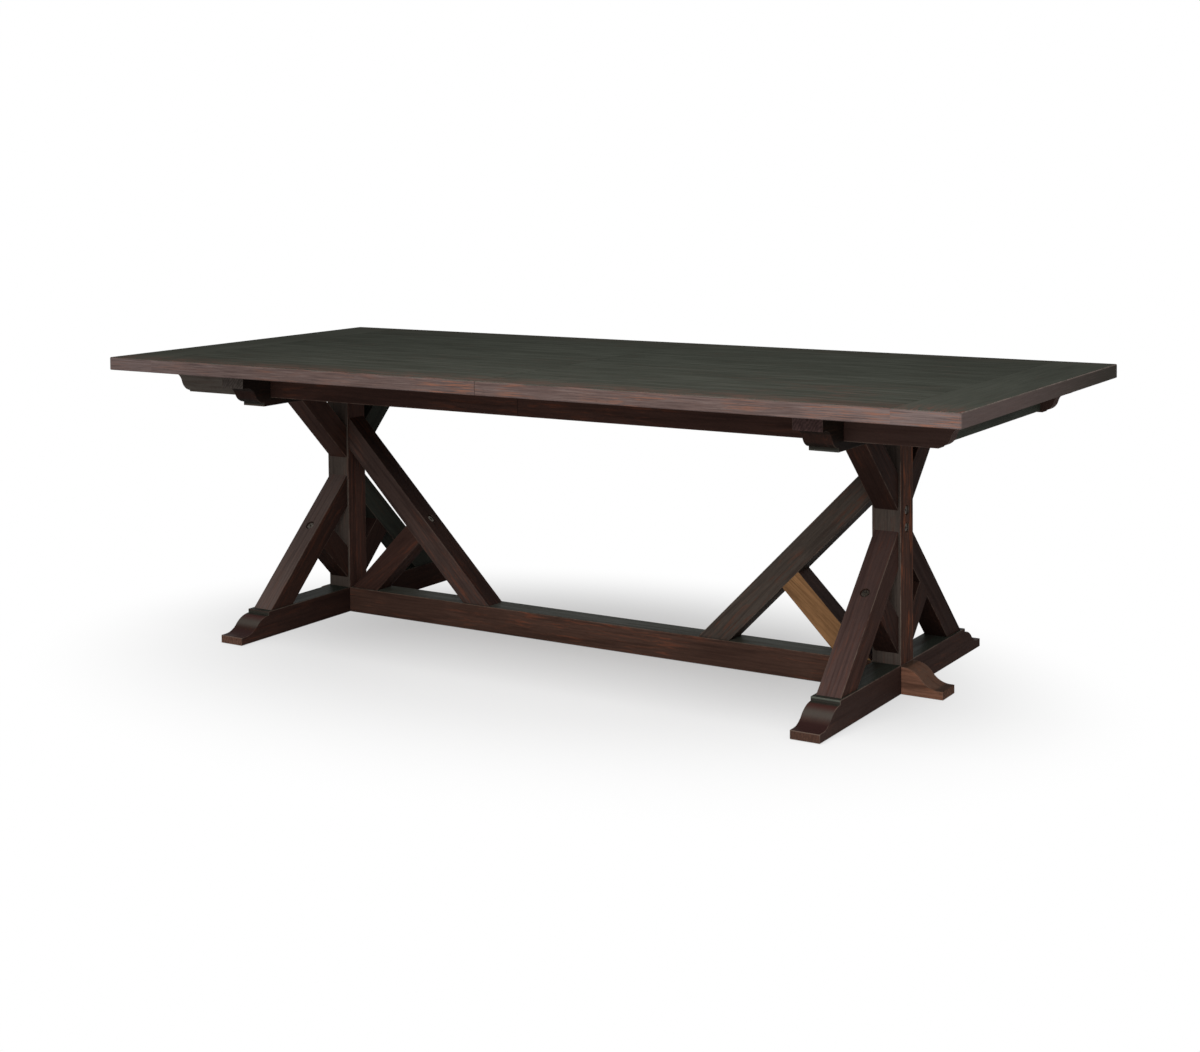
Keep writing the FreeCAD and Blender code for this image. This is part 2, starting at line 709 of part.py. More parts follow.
def make_trestle_bars(side_name, side, end_name, end):
    """Upper brace, lower brace and side strut on one side of one post."""
    name = "%s_%s" % (side_name, end_name)
    middle_x = trestle_reach * side
    spot_along = (lower_brace_reach - side_bolt_reach) * SLANT
    lower = make_bar("lower_brace_" + name, lower_brace_long, True, [(spot_along, NOUGHT)])
    place(lower, (middle_x, lower_brace_reach * end, foot_top), bar_turn((0, -end, 1), (0, -end, -1)))
    upper = make_bar("upper_brace_" + name, upper_brace_long, True)
    place(upper, (middle_x, upper_brace_reach * end, beam_bottom), bar_turn((0, -end, -1), (0, -end, 1)))
    strut = make_bar("side_strut_" + name, side_strut_long, False, end_bolt=True)
    place(strut, (middle_x, half_post * end, side_strut_low), bar_turn((0, end, 1), (0, -end, 1)))


def make_long_bars(side_name, side):
    """Long brace and long strut on the inner side of one post."""
    spot_along = (long_brace_reach - long_bolt_reach) * SLANT
    brace = make_bar("long_brace_" + side_name, long_brace_long, True, [(spot_along, NOUGHT)])
    place(brace, ((trestle_reach - long_brace_reach) * side, NOUGHT, foot_top),
          bar_turn((side, 0, 1), (side, 0, -1)))
    strut = make_bar("long_strut_" + side_name, long_strut_long, False, end_bolt=True)
    place(strut, ((trestle_reach - long_strut_near) * side, NOUGHT, foot_top),
          bar_turn((-side, 0, 1), (-side, 0, -1)))


def make_bolt(label, spot, turn, hold_length):
    """A sunk bolt. Its Z axis points out of the wood, and its place is on the wood's face."""
    seat = -bolt_recess_depth
    shank = rod(label + "_shank", (NOUGHT, NOUGHT, seat - hold_length), bolt_radius, hold_length)
    head = rod(label + "_head", (NOUGHT, NOUGHT, seat), bolt_head_radius, bolt_head_height)
    whole = fused(label + "_whole", [shank, head])
    socket = DOCUMENT.addObject("Part::Prism", label + "_socket")
    socket.Polygon = 6
    bind(socket, "Circumradius", bolt_socket_radius)
    bind(socket, "Height", bolt_socket_depth + overrun)
    place(socket, (NOUGHT, NOUGHT, seat + bolt_head_height - bolt_socket_depth))
    bolt = DOCUMENT.addObject("Part::Cut", label)
    bolt.Base = whole
    bolt.Tool = socket
    return place(bolt, spot, turn)


def make_frame_bolts():
    """The bolts that show: through each lower and long brace into its strut, and in the posts."""
    bolts = []
    through = brace_width - bolt_recess_depth + bolt_hold - overrun
    for side_name, side in SIDES:
        for end_name, end in ENDS:
            bolt_level = lower_brace_reach + foot_top - side_bolt_reach
            spot = (trestle_reach * side, side_bolt_reach * end, bolt_level)
            turn = FreeCAD.Rotation(Vector(0, 0, 1), Vector(0, end, 1))
            bolts.append(make_bolt("bolt_%s_%s" % (side_name, end_name), spot, turn, through))
        bolt_level = long_brace_reach + foot_top - long_bolt_reach
        spot = ((trestle_reach - long_bolt_reach) * side, NOUGHT, bolt_level)
        turn = FreeCAD.Rotation(Vector(0, 0, 1), Vector(-side, 0, 1))
        bolts.append(make_bolt("bolt_%s_long" % side_name, spot, turn, through))
        for level_name, level in (("low", -1), ("high", 1)):
            height = post_bolt_height + post_bolt_spread * level
            spot = ((trestle_reach + half_post) * side, NOUGHT, height)
            turn = FreeCAD.Rotation(Vector(0, 0, 1), Vector(side, 0, 0))
            length = post_bolt_length - overrun
            bolts.append(make_bolt("bolt_%s_%s" % (side_name, level_name), spot, turn, length))
    group("frame_bolts", bolts)


def make_glides():
    """Round glides let into the feet, which carry the table clear of the floor."""
    across = foot_reach - glide_inset
    along = trestle_reach + half_post + outer_foot_length - glide_inset
    spots = [(trestle_reach * side, across * end) for side in (-1, 1) for end in (-1, 1)]
    spots += [(along * side, NOUGHT) for side in (-1, 1)]
    keep(raised("glides", "XY_Plane", NOUGHT, glide_stand + glide_seat, circles=spots,
                radius=glide_radius), "glides")


def make_apron(label, side, end, turn):
    """Half of the rail along one long side, from the middle joint to its ogee end."""
    body = new_body(label)
    post_near = trestle_reach - half_post
    post_far = trestle_reach + half_post
    curve_start = (apron_lip_reach, apron_bottom + apron_lip)
    end_bottom = apron_bottom + apron_lip + apron_curve_rise
    outline = [(NOUGHT, apron_bottom), (post_near, apron_bottom), (post_near, apron_lap)]
    outline += [(post_far, apron_lap), (post_far, apron_bottom), (apron_lip_reach, apron_bottom)]
    outline += [curve_start] + curve_points(curve_start, apron_curve_run, apron_curve_rise)
    outline += [(apron_end, end_bottom), (apron_end, frame_top), (NOUGHT, frame_top)]
    half_thickness = apron_thickness / 2
    pad(body, "XZ_Plane", NOUGHT, apron_thickness, [outline])
    shows = lies_at("y", [-half_thickness, half_thickness])
    low = lies_at("z", [apron_bottom])
    soften(body, arris, lambda edge: shows(edge) and low(edge))
    place(keep(body, label), (NOUGHT, (apron_face - half_thickness) * end, NOUGHT), turn)


def make_frame_boards():
    """End rails, centre rail, splice plates over the aprons' middle joints and corner blocks."""
    for side_name, side in SIDES:
        near, far = sorted((end_rail_inner * side, end_rail_face * side), key=lambda size: size.number)
        rail = box("end_rail_" + side_name, (near, -apron_inner, end_rail_bottom),
                   (far, apron_inner, frame_top))
        keep(rail, "end_rail_" + side_name)
    splice_face = apron_inner - splice_thickness
    half_rail = centre_rail_width / 2
    keep(box("centre_rail", (-half_rail, -splice_face, runner_bottom - centre_rail_thickness),
             (half_rail, splice_face, runner_bottom)), "centre_rail")
    splices = []
    for end_name, end in ENDS:
        near, far = sorted((splice_face * end, apron_inner * end), key=lambda size: size.number)
        splices.append(box("splice_" + end_name, (-splice_length / 2, near, frame_top - splice_height),
                           (splice_length / 2, far, frame_top)))
    group("apron_splices", splices)
    corners = []
    for side in (-1, 1):
        for end in (-1, 1):
            corners.append([
                (end_rail_inner * side, apron_inner * end),
                (end_rail_inner * side, (apron_inner - block_leg) * end),
                ((end_rail_inner - block_leg) * side, apron_inner * end),
            ])
    keep(raised("corner_blocks", "XY_Plane", frame_top - block_height, block_height, corners),
         "corner_blocks")


def make_fixed_runner(label, end):
    """The runner that stays in the beams, grooved on both sides, with a slot for its pinion."""
    body = new_body(label)
    half = runner_width / 2
    floor = half - tongue_reach - tongue_end_clearance + slide_gap
    low = tongue_bottom - tongue_clearance
    high = tongue_top + tongue_clearance
    outline = [(-half, runner_bottom), (half, runner_bottom), (half, low), (floor, low), (floor, high),
               (half, high), (half, runner_top), (-half, runner_top), (-half, high), (-floor, high),
               (-floor, low), (-half, low)]
    pad(body, "YZ_Plane", NOUGHT, (trestle_reach + half_post) * 2, [outline])
    slot_half = tip_radius + pinion_slot_margin
    slot_low = pinion_bottom - pinion_side_clearance
    slot_high = pinion_bottom + pinion_thickness + pinion_side_clearance
    pocket(body, "XZ_Plane", NOUGHT, runner_width + overrun * 2,
           [rectangle(-slot_half, slot_half, slot_low, slot_high)])
    pocket(body, "XY_Plane", runner_bottom + (pinion_pin_length - overrun) / 2,
           pinion_pin_length + overrun, circles=[(NOUGHT, NOUGHT)],
           radius=pinion_pin_radius + pinion_running_fit)
    spots = [(trestle_reach * side + runner_screw_spread * way, NOUGHT)
             for side in (-1, 1) for way in (-1, 1)]
    pocket(body, "XY_Plane", (runner_bottom + runner_top) / 2, runner_height + overrun * 2,
           circles=spots, radius=screw_radius + screw_clearance)
    pocket(body, "XY_Plane", runner_top - (runner_screw_seat - overrun) / 2, runner_screw_seat + overrun,
           circles=spots, radius=screw_head_radius + screw_clearance)
    place(keep(body, label), (NOUGHT, runner_spread * end, NOUGHT))


def make_runner_screws():
    """Screws down through the runners into the beams."""
    spots = [(trestle_reach * side + runner_screw_spread * way, runner_spread * end)
             for side in (-1, 1) for way in (-1, 1) for end in (-1, 1)]
    bottom = runner_bottom - runner_screw_bite + overrun
    seat = runner_top - runner_screw_seat
    shanks = raised("runner_screw_shanks", "XY_Plane", bottom, seat - bottom, circles=spots,
                    radius=screw_radius)
    heads = raised("runner_screw_heads", "XY_Plane", seat, screw_head_height, circles=spots,
                   radius=screw_head_radius)
    keep(fused("runner_screws", [shanks, heads]), "runner_screws")


def make_pinion_pins():
    """The upright pins that the pinions turn on."""
    spots = [(NOUGHT, runner_spread * end) for end in (-1, 1)]
    keep(raised("pinion_pins", "XY_Plane", runner_bottom, pinion_pin_length, circles=spots,
                radius=pinion_pin_radius), "pinion_pins")


def involute(pressure_angle):
    return math.tan(pressure_angle) - pressure_angle


def tooth_space():
    """Half of the outline of one tooth space of the pinion, from root to tip, as shares of the module
    across and along the space's middle line. Its flank is an involute, radial below the base circle."""
    pitch = PINION_TEETH / 2
    base = pitch * math.cos(PRESSURE_ANGLE)
    tip = pitch + ADDENDUM_SHARE
    half_tooth = (math.pi / 2 - TOOTH_THINNING_SHARE) / (2 * pitch)
    shares = []
    for step in range(FLANK_STEPS + 1):
        radius = base + (tip - base) * step / FLANK_STEPS
        angle = half_tooth + involute(PRESSURE_ANGLE) - involute(math.acos(min(1, base / radius)))
        space = math.pi / PINION_TEETH - angle
        shares.append((radius * math.sin(space), radius * math.cos(space)))
        if step == 0:
            root_radius = pitch - DEDENDUM_SHARE
            shares.insert(0, (root_radius * math.sin(space), root_radius * math.cos(space)))
    return shares


def make_pinion(label, end):
    """The gear in a fixed runner, with a tooth space towards each rack at rest."""
    body = new_body(label)
    middle = pinion_bottom + pinion_thickness / 2
    pad(body, "XY_Plane", middle, pinion_thickness, circles=[(NOUGHT, NOUGHT)], radius=tip_radius)
    pocket(body, "XY_Plane", middle, pinion_thickness + overrun * 2, circles=[(NOUGHT, NOUGHT)],
           radius=pinion_pin_radius + pinion_running_fit)
    shares = tooth_space()
    side = [(gear_module * across, gear_module * along) for across, along in shares]
    top_x, top_y = side[-1]
    outline = side + [(top_x, top_y + overrun), (-top_x, top_y + overrun)]
    outline += [(-across, along) for across, along in reversed(side)]
    space = pocket(body, "XY_Plane", middle, pinion_thickness + overrun * 2, [outline])
    pattern = body.newObject("PartDesign::PolarPattern", label + "_teeth")
    pattern.Originals = [space]
    pattern.Axis = (next(item for item in body.Origin.OriginFeatures if item.Role == "Z_Axis"), [""])
    pattern.Angle = 360
    pattern.Occurrences = PINION_TEETH
    body.Tip = pattern
    place(keep(body, label), (NOUGHT, runner_spread * end, NOUGHT))


def make_rack(label, end, turn):
    """The toothed strip let into a slide, with a tooth at the pinion at rest."""
    body = new_body(label)
    middle = (rack_bottom + rack_top) / 2
    pad(body, "XY_Plane", middle, rack_height, [rectangle(rack_start, rack_end, -rack_seat, -rack_tips)])
    slope = math.tan(PRESSURE_ANGLE)
    half_pitch = (math.pi / 2 + TOOTH_THINNING_SHARE) / 2
    mouth = gear_module * (half_pitch + ADDENDUM_SHARE * slope)
    floor = gear_module * (half_pitch - DEDENDUM_SHARE * slope)
    centre = rack_start + rack_pitch / 2
    outline = [(centre - floor, -rack_roots), (centre + floor, -rack_roots), (centre + mouth, -rack_tips),
               (centre + mouth, -rack_tips + overrun), (centre - mouth, -rack_tips + overrun),
               (centre - mouth, -rack_tips)]
    space = pocket(body, "XY_Plane", middle, rack_height + overrun * 2, [outline])
    pattern = body.newObject("PartDesign::LinearPattern", label + "_teeth")
    pattern.Originals = [space]
    pattern.Direction = (next(item for item in body.Origin.OriginFeatures if item.Role == "X_Axis"), [""])
    count = RACK_SPARE_TEETH + RACK_TEETH_AHEAD
    bind(pattern, "Length", rack_pitch * (count - 1))
    pattern.Occurrences = count
    body.Tip = pattern
    return place(body, (NOUGHT, runner_spread * end, NOUGHT), turn)


def slide_screw_places():
    """How far each slide screw sits from the seam."""
    return [-(screw_first + screw_pitch * number) for number in range(SLIDE_SCREWS)]


def make_slide(label, end, turn):
    """A wooden slide under one half of the top. It is drawn for the left half: outwards is -X, and the
    runner's middle is at Y 0."""
    body = new_body(label)
    inner = -slide_inner_face
    tip = inner + tongue_reach
    outline = [(-slide_outer_face, slide_bottom), (inner, slide_bottom), (inner, tongue_bottom),
               (tip, tongue_bottom), (tip, tongue_top), (inner, tongue_top), (inner, top_underside),
               (-slide_outer_face, top_underside)]
    pad(body, "YZ_Plane", (slide_inner_reach - slide_outer_reach) / 2,
        slide_inner_reach + slide_outer_reach, [outline])
    rebate = rack_seat - slide_inner_face
    pocket(body, "XZ_Plane", -rack_seat + (rebate + overrun) / 2, rebate + overrun,
           [rectangle(rack_start, rack_end, rack_bottom, rack_top)])
    across = (slide_inner_face + slide_outer_face) / 2
    pocket(body, "XZ_Plane", -across, slide_width + overrun * 2,
           [rectangle(NOUGHT, slide_inner_reach + overrun, frame_top, top_underside + overrun)])
    spots = [(along, -across) for along in slide_screw_places()]
    pocket(body, "XY_Plane", (slide_bottom + top_underside) / 2, slide_depth + overrun * 2,
           circles=spots, radius=screw_radius + screw_clearance)
    pocket(body, "XY_Plane", slide_bottom + (screw_seat_depth - overrun) / 2, screw_seat_depth + overrun,
           circles=spots, radius=screw_head_radius + screw_clearance)
    place(keep(body, label), (NOUGHT, runner_spread * end, NOUGHT), turn)


def slide_screw_spots(side):
    """Where the screws of one half's slides stand, in the table's frame. The left half's slides are on
    the -Y side of their runners, the right half's on the +Y side."""
    across = (slide_inner_face + slide_outer_face) / 2
    return [(along * -side, runner_spread * end + across * side)
            for along in slide_screw_places() for end in (-1, 1)]


def make_slide_screws(side_name, side):
    """Screws up through one half's slides into its panel."""
    spots = slide_screw_spots(side)
    seat = slide_bottom + screw_seat_depth
    label = "slide_screws_" + side_name
    shanks = raised(label + "_shanks", "XY_Plane", seat, top_underside + screw_bite - overrun - seat,
                    circles=spots, radius=screw_radius)
    heads = raised(label + "_heads", "XY_Plane", seat - screw_head_height, screw_head_height,
                   circles=spots, radius=screw_head_radius)
    keep(fused(label, [shanks, heads]), label)


def make_top_panel(label, side, turn):
    """One half of the top without its end board. It is drawn for the left half, seam at X 0."""
    body = new_body(label)
    far = half_width - edge_round
    low = top_underside + edge_round
    high = table_height - edge_round
    outline = [
        (far, top_underside),
        (half_width, low, (far, low, 1)),
        (half_width, high),
        (far, table_height, (far, high, 1)),
        (-far, table_height),
        (-half_width, high, (-far, high, 1)),
        (-half_width, low),
        (-far, top_underside, (-far, low, 1)),
    ]
    pad(body, "YZ_Plane", -panel_reach / 2, panel_reach, [outline])
    half_tongue = end_tongue_thickness / 2
    tongue_half_width = half_width - end_tongue_inset
    pad(body, "YZ_Plane", -panel_reach, end_tongue_reach * 2,
        [rectangle(-tongue_half_width, tongue_half_width, top_middle - half_tongue,
                   top_middle + half_tongue)])
    pocket(body, "YZ_Plane", -seam_pin_reach / 2, seam_pin_reach + overrun * 2,
           circles=[(seam_pin_spread * way, top_middle) for way in (-1, 0, 1)],
           radius=pin_hole_radius)
    spots = [(along * -side, across * -side) for along, across in slide_screw_spots(side)]
    pocket(body, "XY_Plane", top_underside + (screw_bite - overrun) / 2, screw_bite + overrun,
           circles=spots, radius=screw_radius + screw_clearance)
    place(keep(body, label), (NOUGHT, NOUGHT, NOUGHT), turn)


def make_end_board(label, turn):
    """The board across the end of one half, grooved for the panel's tongue. Drawn for the left half."""
    body = new_body(label)
    corner_x = -half_length + end_corner_round
    corner_y = half_width - end_corner_round
    outline = [
        (-panel_reach, half_width),
        (corner_x, half_width),
        (-half_length, corner_y, (corner_x, corner_y, 1)),
        (-half_length, -corner_y),
        (corner_x, -half_width, (corner_x, -corner_y, 1)),
        (-panel_reach, -half_width),
    ]
    pad(body, "XY_Plane", top_middle, top_thickness, [outline])
    rim = lies_at("z", [top_underside, table_height])
    seam = lies_at("x", [-panel_reach])
    soften(body, edge_round, lambda edge: rim(edge) and not seam(edge))
    half_groove = end_tongue_thickness / 2 + end_groove_clearance
    groove_half_width = half_width - end_tongue_inset + end_groove_clearance
    depth = end_tongue_reach + end_groove_clearance
    pocket(body, "YZ_Plane", -panel_reach - (depth - overrun) / 2, depth + overrun,
           [rectangle(-groove_half_width, groove_half_width, top_middle - half_groove,
                      top_middle + half_groove)])
    place(keep(body, label), (NOUGHT, NOUGHT, NOUGHT), turn)


def make_seam_pins():
    """Pins fixed in the left half's seam, which the right half's holes take."""
    length = (seam_pin_reach - overrun) * 2
    pins = raised("seam_pins", "YZ_Plane", -length / 2, length,
                  circles=[(seam_pin_spread * way, top_middle) for way in (-1, 0, 1)],
                  radius=seam_pin_radius)
    keep(pins, "seam_pins")


def make_catch_plates(label, side):
    """Plates under one half beside the seam, each with a headed stud for the levers."""
    plates = []
    half_wide = catch_plate_width / 2
    half_long = catch_plate_length / 2
    middle = catch_set_back * side
    plate_bottom = top_underside - catch_plate_thickness
    head_top = lever_bottom - lever_float
    for end_name, end in ENDS:
        name = "%s_%s" % (label, end_name)
        across = catch_spread * end
        plate = box(name + "_plate", (middle - half_long, across - half_wide, plate_bottom),
                    (middle + half_long, across + half_wide, top_underside))
        stud = rod(name + "_stud", (middle, across, head_top), catch_stud_radius, plate_bottom - head_top)
        head = rod(name + "_head", (middle, across, head_top - catch_head_height), catch_head_radius,
                   catch_head_height)
        plates.append(fused(name, [plate, stud, head]))
    group(label, plates)


def make_lever(label, end):
    """The lever that locks the halves: drawn locked, with its pivot at the origin, its arm along +X and
    its slot open towards +Y. At rest it is turned away from the seam."""
    body = new_body(label)
    tail = lever_half_width
    tip = lever_tip - lever_tab
    outline = [
        (NOUGHT, -tail, (NOUGHT, NOUGHT, 1)),
        (lever_tip, -tail),
        (lever_tip, NOUGHT),
        (tip, NOUGHT),
        (tip, tail),
        (NOUGHT, tail),
        (-tail, NOUGHT, (NOUGHT, NOUGHT, 1)),
    ]
    pad(body, "XY_Plane", NOUGHT, lever_thickness, [outline])
    pocket(body, "XY_Plane", NOUGHT, lever_thickness + overrun * 2, circles=[(NOUGHT, NOUGHT)],
           radius=catch_stud_radius + pinion_running_fit)
    reach = catch_stud_radius + lever_slot_clearance
    sweep = lever_arm - root(lever_arm * lever_arm - tail * tail)
    slot = rectangle(lever_arm - reach - sweep, lever_arm + reach, -reach, tail + overrun)
    pocket(body, "XY_Plane", NOUGHT, lever_thickness + overrun * 2, [slot])
    flip = AS_DRAWN if end < 0 else FreeCAD.Rotation(Vector(1, 0, 0), 180)
    swing = FreeCAD.Rotation(Vector(0, 0, 1), 90 * end)
    middle = (lever_top + lever_bottom) / 2
    place(keep(body, label), (-catch_set_back, catch_spread * end, middle), swing.multiply(flip))


SIDES = (("left", -1), ("right", 1))
ENDS = (("front", -1), ("back", 1))


def build():
    make_stretcher()
    for side_name, side in SIDES:
        turn = AS_DRAWN if side < 0 else TO_LEFT
        make_cross_foot("cross_foot_" + side_name, side, turn)
        make_outer_foot("outer_foot_" + side_name, side, AS_DRAWN if side > 0 else TO_LEFT)
        make_post("post_" + side_name, side, turn)
        make_crossbeam("crossbeam_" + side_name, side, turn)
        for end_name, end in ENDS:
            make_trestle_bars(side_name, side, end_name, end)
        make_long_bars(side_name, side)
    make_frame_bolts()
    make_glides()
    for side_name, side in SIDES:
        for end_name, end in ENDS:
            turn = AS_DRAWN if side > 0 else TO_LEFT
            make_apron("apron_%s_%s" % (side_name, end_name), side, end, turn)
    make_frame_boards()
    make_runner_screws()
    make_pinion_pins()
    for end_name, end in ENDS:
        make_fixed_runner("fixed_runner_" + end_name, end)
        make_pinion("pinion_" + end_name, end)
        make_lever("catch_lever_" + end_name, end)
    for side_name, side in SIDES:
        turn = AS_DRAWN if side < 0 else TO_LEFT
        make_top_panel("top_panel_" + side_name, side, turn)
        make_end_board("end_board_" + side_name, turn)
        make_slide_screws(side_name, side)
        racks = []
        for end_name, end in ENDS:
            make_slide("slide_%s_%s" % (side_name, end_name), end, turn)
            racks.append(make_rack("rack_%s_%s" % (side_name, end_name), end, turn))
        group("racks_" + side_name, racks)
    make_seam_pins()
    make_catch_plates("catch_plates", -1)
    make_catch_plates("catch_keepers", 1)


def check_and_write():
    """Stops if anything failed, then writes one file for each sub-part."""
    DOCUMENT.recompute()
    for thing in DOCUMENT.Objects:
        if "Invalid" in thing.State or "Error" in thing.State:
            raise ValueError("%s failed: %s" % (thing.Name, thing.State))
    for node in NODES:
        if node.Shape.isNull() or not node.Shape.isValid():
            raise ValueError("%s has no valid shape" % node.Label)
    os.makedirs("parts", exist_ok=True)
    for node in NODES:
        node.Shape.exportStep("parts/%s.step" % node.Label)
        box_of = node.Shape.BoundBox
        print("%-26s solids %2d volume %9.1f cm3  x %7.1f %7.1f  y %6.1f %6.1f  z %6.1f %6.1f" % (
            node.Label, len(node.Shape.Solids), node.Shape.Volume / 1000, box_of.XMin, box_of.XMax,
            box_of.YMin, box_of.YMax, box_of.ZMin, box_of.ZMax))
    print("%d sub-parts" % len(NODES))


build()
check_and_write()
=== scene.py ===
"""An extending dining table: a dark wooden top in two sliding halves on a farmhouse trestle base.

The frame gives every piece its shape and place. This script gives each board its own grain, stain and rubs,
with painted sheen, shade and highlights in places, and sets the camera, the lamps and the floor.
"""
from typing import NamedTuple

import bmesh
import bpy
import numpy as np
from mathutils import Matrix, Vector


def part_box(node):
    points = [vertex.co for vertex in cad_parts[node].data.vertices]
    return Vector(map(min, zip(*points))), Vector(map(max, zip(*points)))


MM = 0.001

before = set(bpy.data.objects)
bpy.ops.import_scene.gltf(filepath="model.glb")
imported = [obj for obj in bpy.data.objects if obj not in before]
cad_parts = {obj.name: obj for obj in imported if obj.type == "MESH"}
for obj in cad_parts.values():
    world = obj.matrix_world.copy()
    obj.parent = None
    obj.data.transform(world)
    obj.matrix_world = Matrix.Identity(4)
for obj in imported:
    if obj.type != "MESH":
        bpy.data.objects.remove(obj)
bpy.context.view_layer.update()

LENGTHWISE, CROSSWISE, UPRIGHT = (1, 0, 0), (0, 1, 0), (0, 0, 1)
SIDES = ("left", "right")
PLACES = ("front", "back")

end_low, end_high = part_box("end_board_right")
HALF_LENGTH, HALF_DEPTH, TABLE_TOP = end_high
END_JOINT = end_low.x
BEAM_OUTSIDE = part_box("crossbeam_right")[1].x
TOE_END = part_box("cross_foot_right")[1].y

# The upper edge of a toe's end, and how far out the lips of the feet and beams stand at most.
TOE_TOP = 22 * MM
LIP_LIMIT = 0.42


def stain(red, green, blue):
    """A colour as seen, 0 to 255, in the linear light that the shaders work in."""
    seen = (channel / 255 for channel in (red, green, blue))
    return (*(s / 12.92 if s < 0.04045 else ((s + 0.055) / 1.055) ** 2.4 for s in seen), 1.0)


class Finish(NamedTuple):
    """How one kind of wood in the frame is stained, with a painted sheen where it lies level and a painted
    highlight with the rub of its arrises.
    """
    ground: tuple       # the stain over most of the wood
    shade: tuple        # the dark lines of the grain
    warm: tuple         # reddish wood that shows through the stain
    level: tuple        # painted sheen: the greener grey of faces that lie level
    end: tuple          # end grain
    worn_and_highlight: tuple         # rubbed arrises, lightened as well as a painted highlight
    warmth: float       # how much of the warm wood shows, 0 to 1
    wear: float         # how far the arrises are rubbed and lightened as a painted highlight, 0 to 1
    roughness: float
    gloss: float


FRAME_STAIN = Finish(
    ground=stain(66, 46, 40), shade=stain(38, 26, 23), warm=stain(98, 56, 40), level=stain(38, 41, 36),
    end=stain(78, 56, 46), worn_and_highlight=stain(112, 98, 88), warmth=0.5, wear=0.45, roughness=0.45, gloss=0.012)
DARK_STAIN = FRAME_STAIN._replace(
    ground=stain(48, 33, 28), shade=stain(30, 20, 18), warm=stain(78, 44, 32), end=stain(60, 44, 40),
    wear=0.28)
BARE_WOOD = Finish(
    ground=stain(176, 142, 100), shade=stain(140, 104, 68), warm=stain(190, 148, 102),
    level=stain(172, 140, 100), end=stain(128, 96, 64), worn_and_highlight=stain(196, 166, 126),
    warmth=0.4, wear=0.2, roughness=0.55, gloss=0.25)

# Boards that differ from the rest of the frame.
STRETCHER_STAIN = FRAME_STAIN._replace(
    ground=stain(82, 60, 51), shade=stain(48, 34, 29), warm=stain(122, 70, 50), level=stain(60, 62, 55),
    warmth=0.65)
LEFT_FOOT_STAIN = DARK_STAIN._replace(end=stain(100, 73, 61))
RIGHT_FOOT_STAIN = FRAME_STAIN._replace(ground=stain(59, 43, 38), shade=stain(45, 33, 30), warmth=0.35)
OUTER_FOOT_STAIN = FRAME_STAIN._replace(
    ground=stain(132, 94, 76), shade=stain(48, 33, 27), warm=stain(144, 90, 62), level=stain(66, 50, 42),
    warmth=0.6)
LEFT_BEAM_STAIN = DARK_STAIN._replace(
    ground=stain(34, 27, 23), shade=stain(22, 17, 15), end=stain(90, 82, 77), warmth=0.2)
RIGHT_BEAM_STAIN = LEFT_BEAM_STAIN._replace(end=stain(80, 61, 59))
RIGHT_POST_STAIN = FRAME_STAIN._replace(
    ground=stain(72, 49, 40), warm=stain(126, 72, 48), warmth=0.85, wear=0.7)
RIGHT_LONG_BRACE_STAIN = FRAME_STAIN._replace(
    ground=stain(74, 66, 60), shade=stain(46, 39, 35), warmth=0.45)
UPPER_BRACE_STAIN = DARK_STAIN._replace(ground=stain(60, 42, 36), shade=stain(38, 26, 23))
# Painted shade: the left trestle's back braces take the green-black that they show in the shade inside it.
BACK_BRACE_SHADE = DARK_STAIN._replace(ground=stain(50, 52, 46), shade=stain(34, 34, 31), warmth=0.15)
# Painted sheen: the end rails take the grey-green that they show at a grazing angle.
END_RAIL_SHEEN = BACK_BRACE_SHADE._replace(ground=stain(62, 66, 58), shade=stain(44, 46, 41))

# Fronts and backs that differ from the rest of their board. The paler, greyer fronts of the lower front
# braces are a painted sheen.
POST_FRONT = FRAME_STAIN._replace(ground=stain(81, 72, 66), shade=stain(53, 46, 42), warmth=0.3)
LEFT_BRACE_FRONT_SHEEN = FRAME_STAIN._replace(ground=stain(106, 93, 88), shade=stain(80, 68, 64), warmth=0.2)
RIGHT_BRACE_FRONT_SHEEN = FRAME_STAIN._replace(ground=stain(82, 67, 64), shade=stain(60, 46, 44), warmth=0.25)
LONG_BRACE_FRONT = FRAME_STAIN._replace(
    ground=stain(76, 61, 56), shade=stain(46, 35, 32), warm=stain(118, 68, 48), warmth=0.65)
LONG_STRUT_FRONT = FRAME_STAIN._replace(
    ground=stain(154, 115, 78), shade=stain(72, 49, 33), warm=stain(156, 104, 68), warmth=0.5)

# Single faces, curves and joints.
JOINT_SHADOW, LIP_SHADE, FOOT_CURVE = stain(24, 18, 16), stain(52, 50, 45), stain(66, 50, 40)
LEFT_APRON_END, RIGHT_APRON_END = stain(100, 94, 87), stain(68, 51, 46)
# Painted sheen on the steep part of a toe's ogee, painted shade in its hollow, and a blush under its lip.
TOE_SHEEN, TOE_HOLLOW_SHADE, TOE_BLUSH = stain(70, 64, 59), stain(44, 28, 26), stain(60, 32, 29)

# The top's face is charcoal in darker and paler streaks, with reddish wood where the stain is thin.
TOP_GROUND, TOP_SHADE, TOP_STREAK = stain(64, 66, 60), stain(42, 44, 39), stain(72, 74, 68)
# Its rims are lightened by rubs and by a painted highlight.
TOP_WARM, TOP_WORN_HIGHLIGHT = stain(92, 62, 55), stain(132, 116, 110)
TOP_WEAR_HIGHLIGHT, TOP_ROUGHNESS, TOP_GLOSS = 0.7, 0.62, 0.0

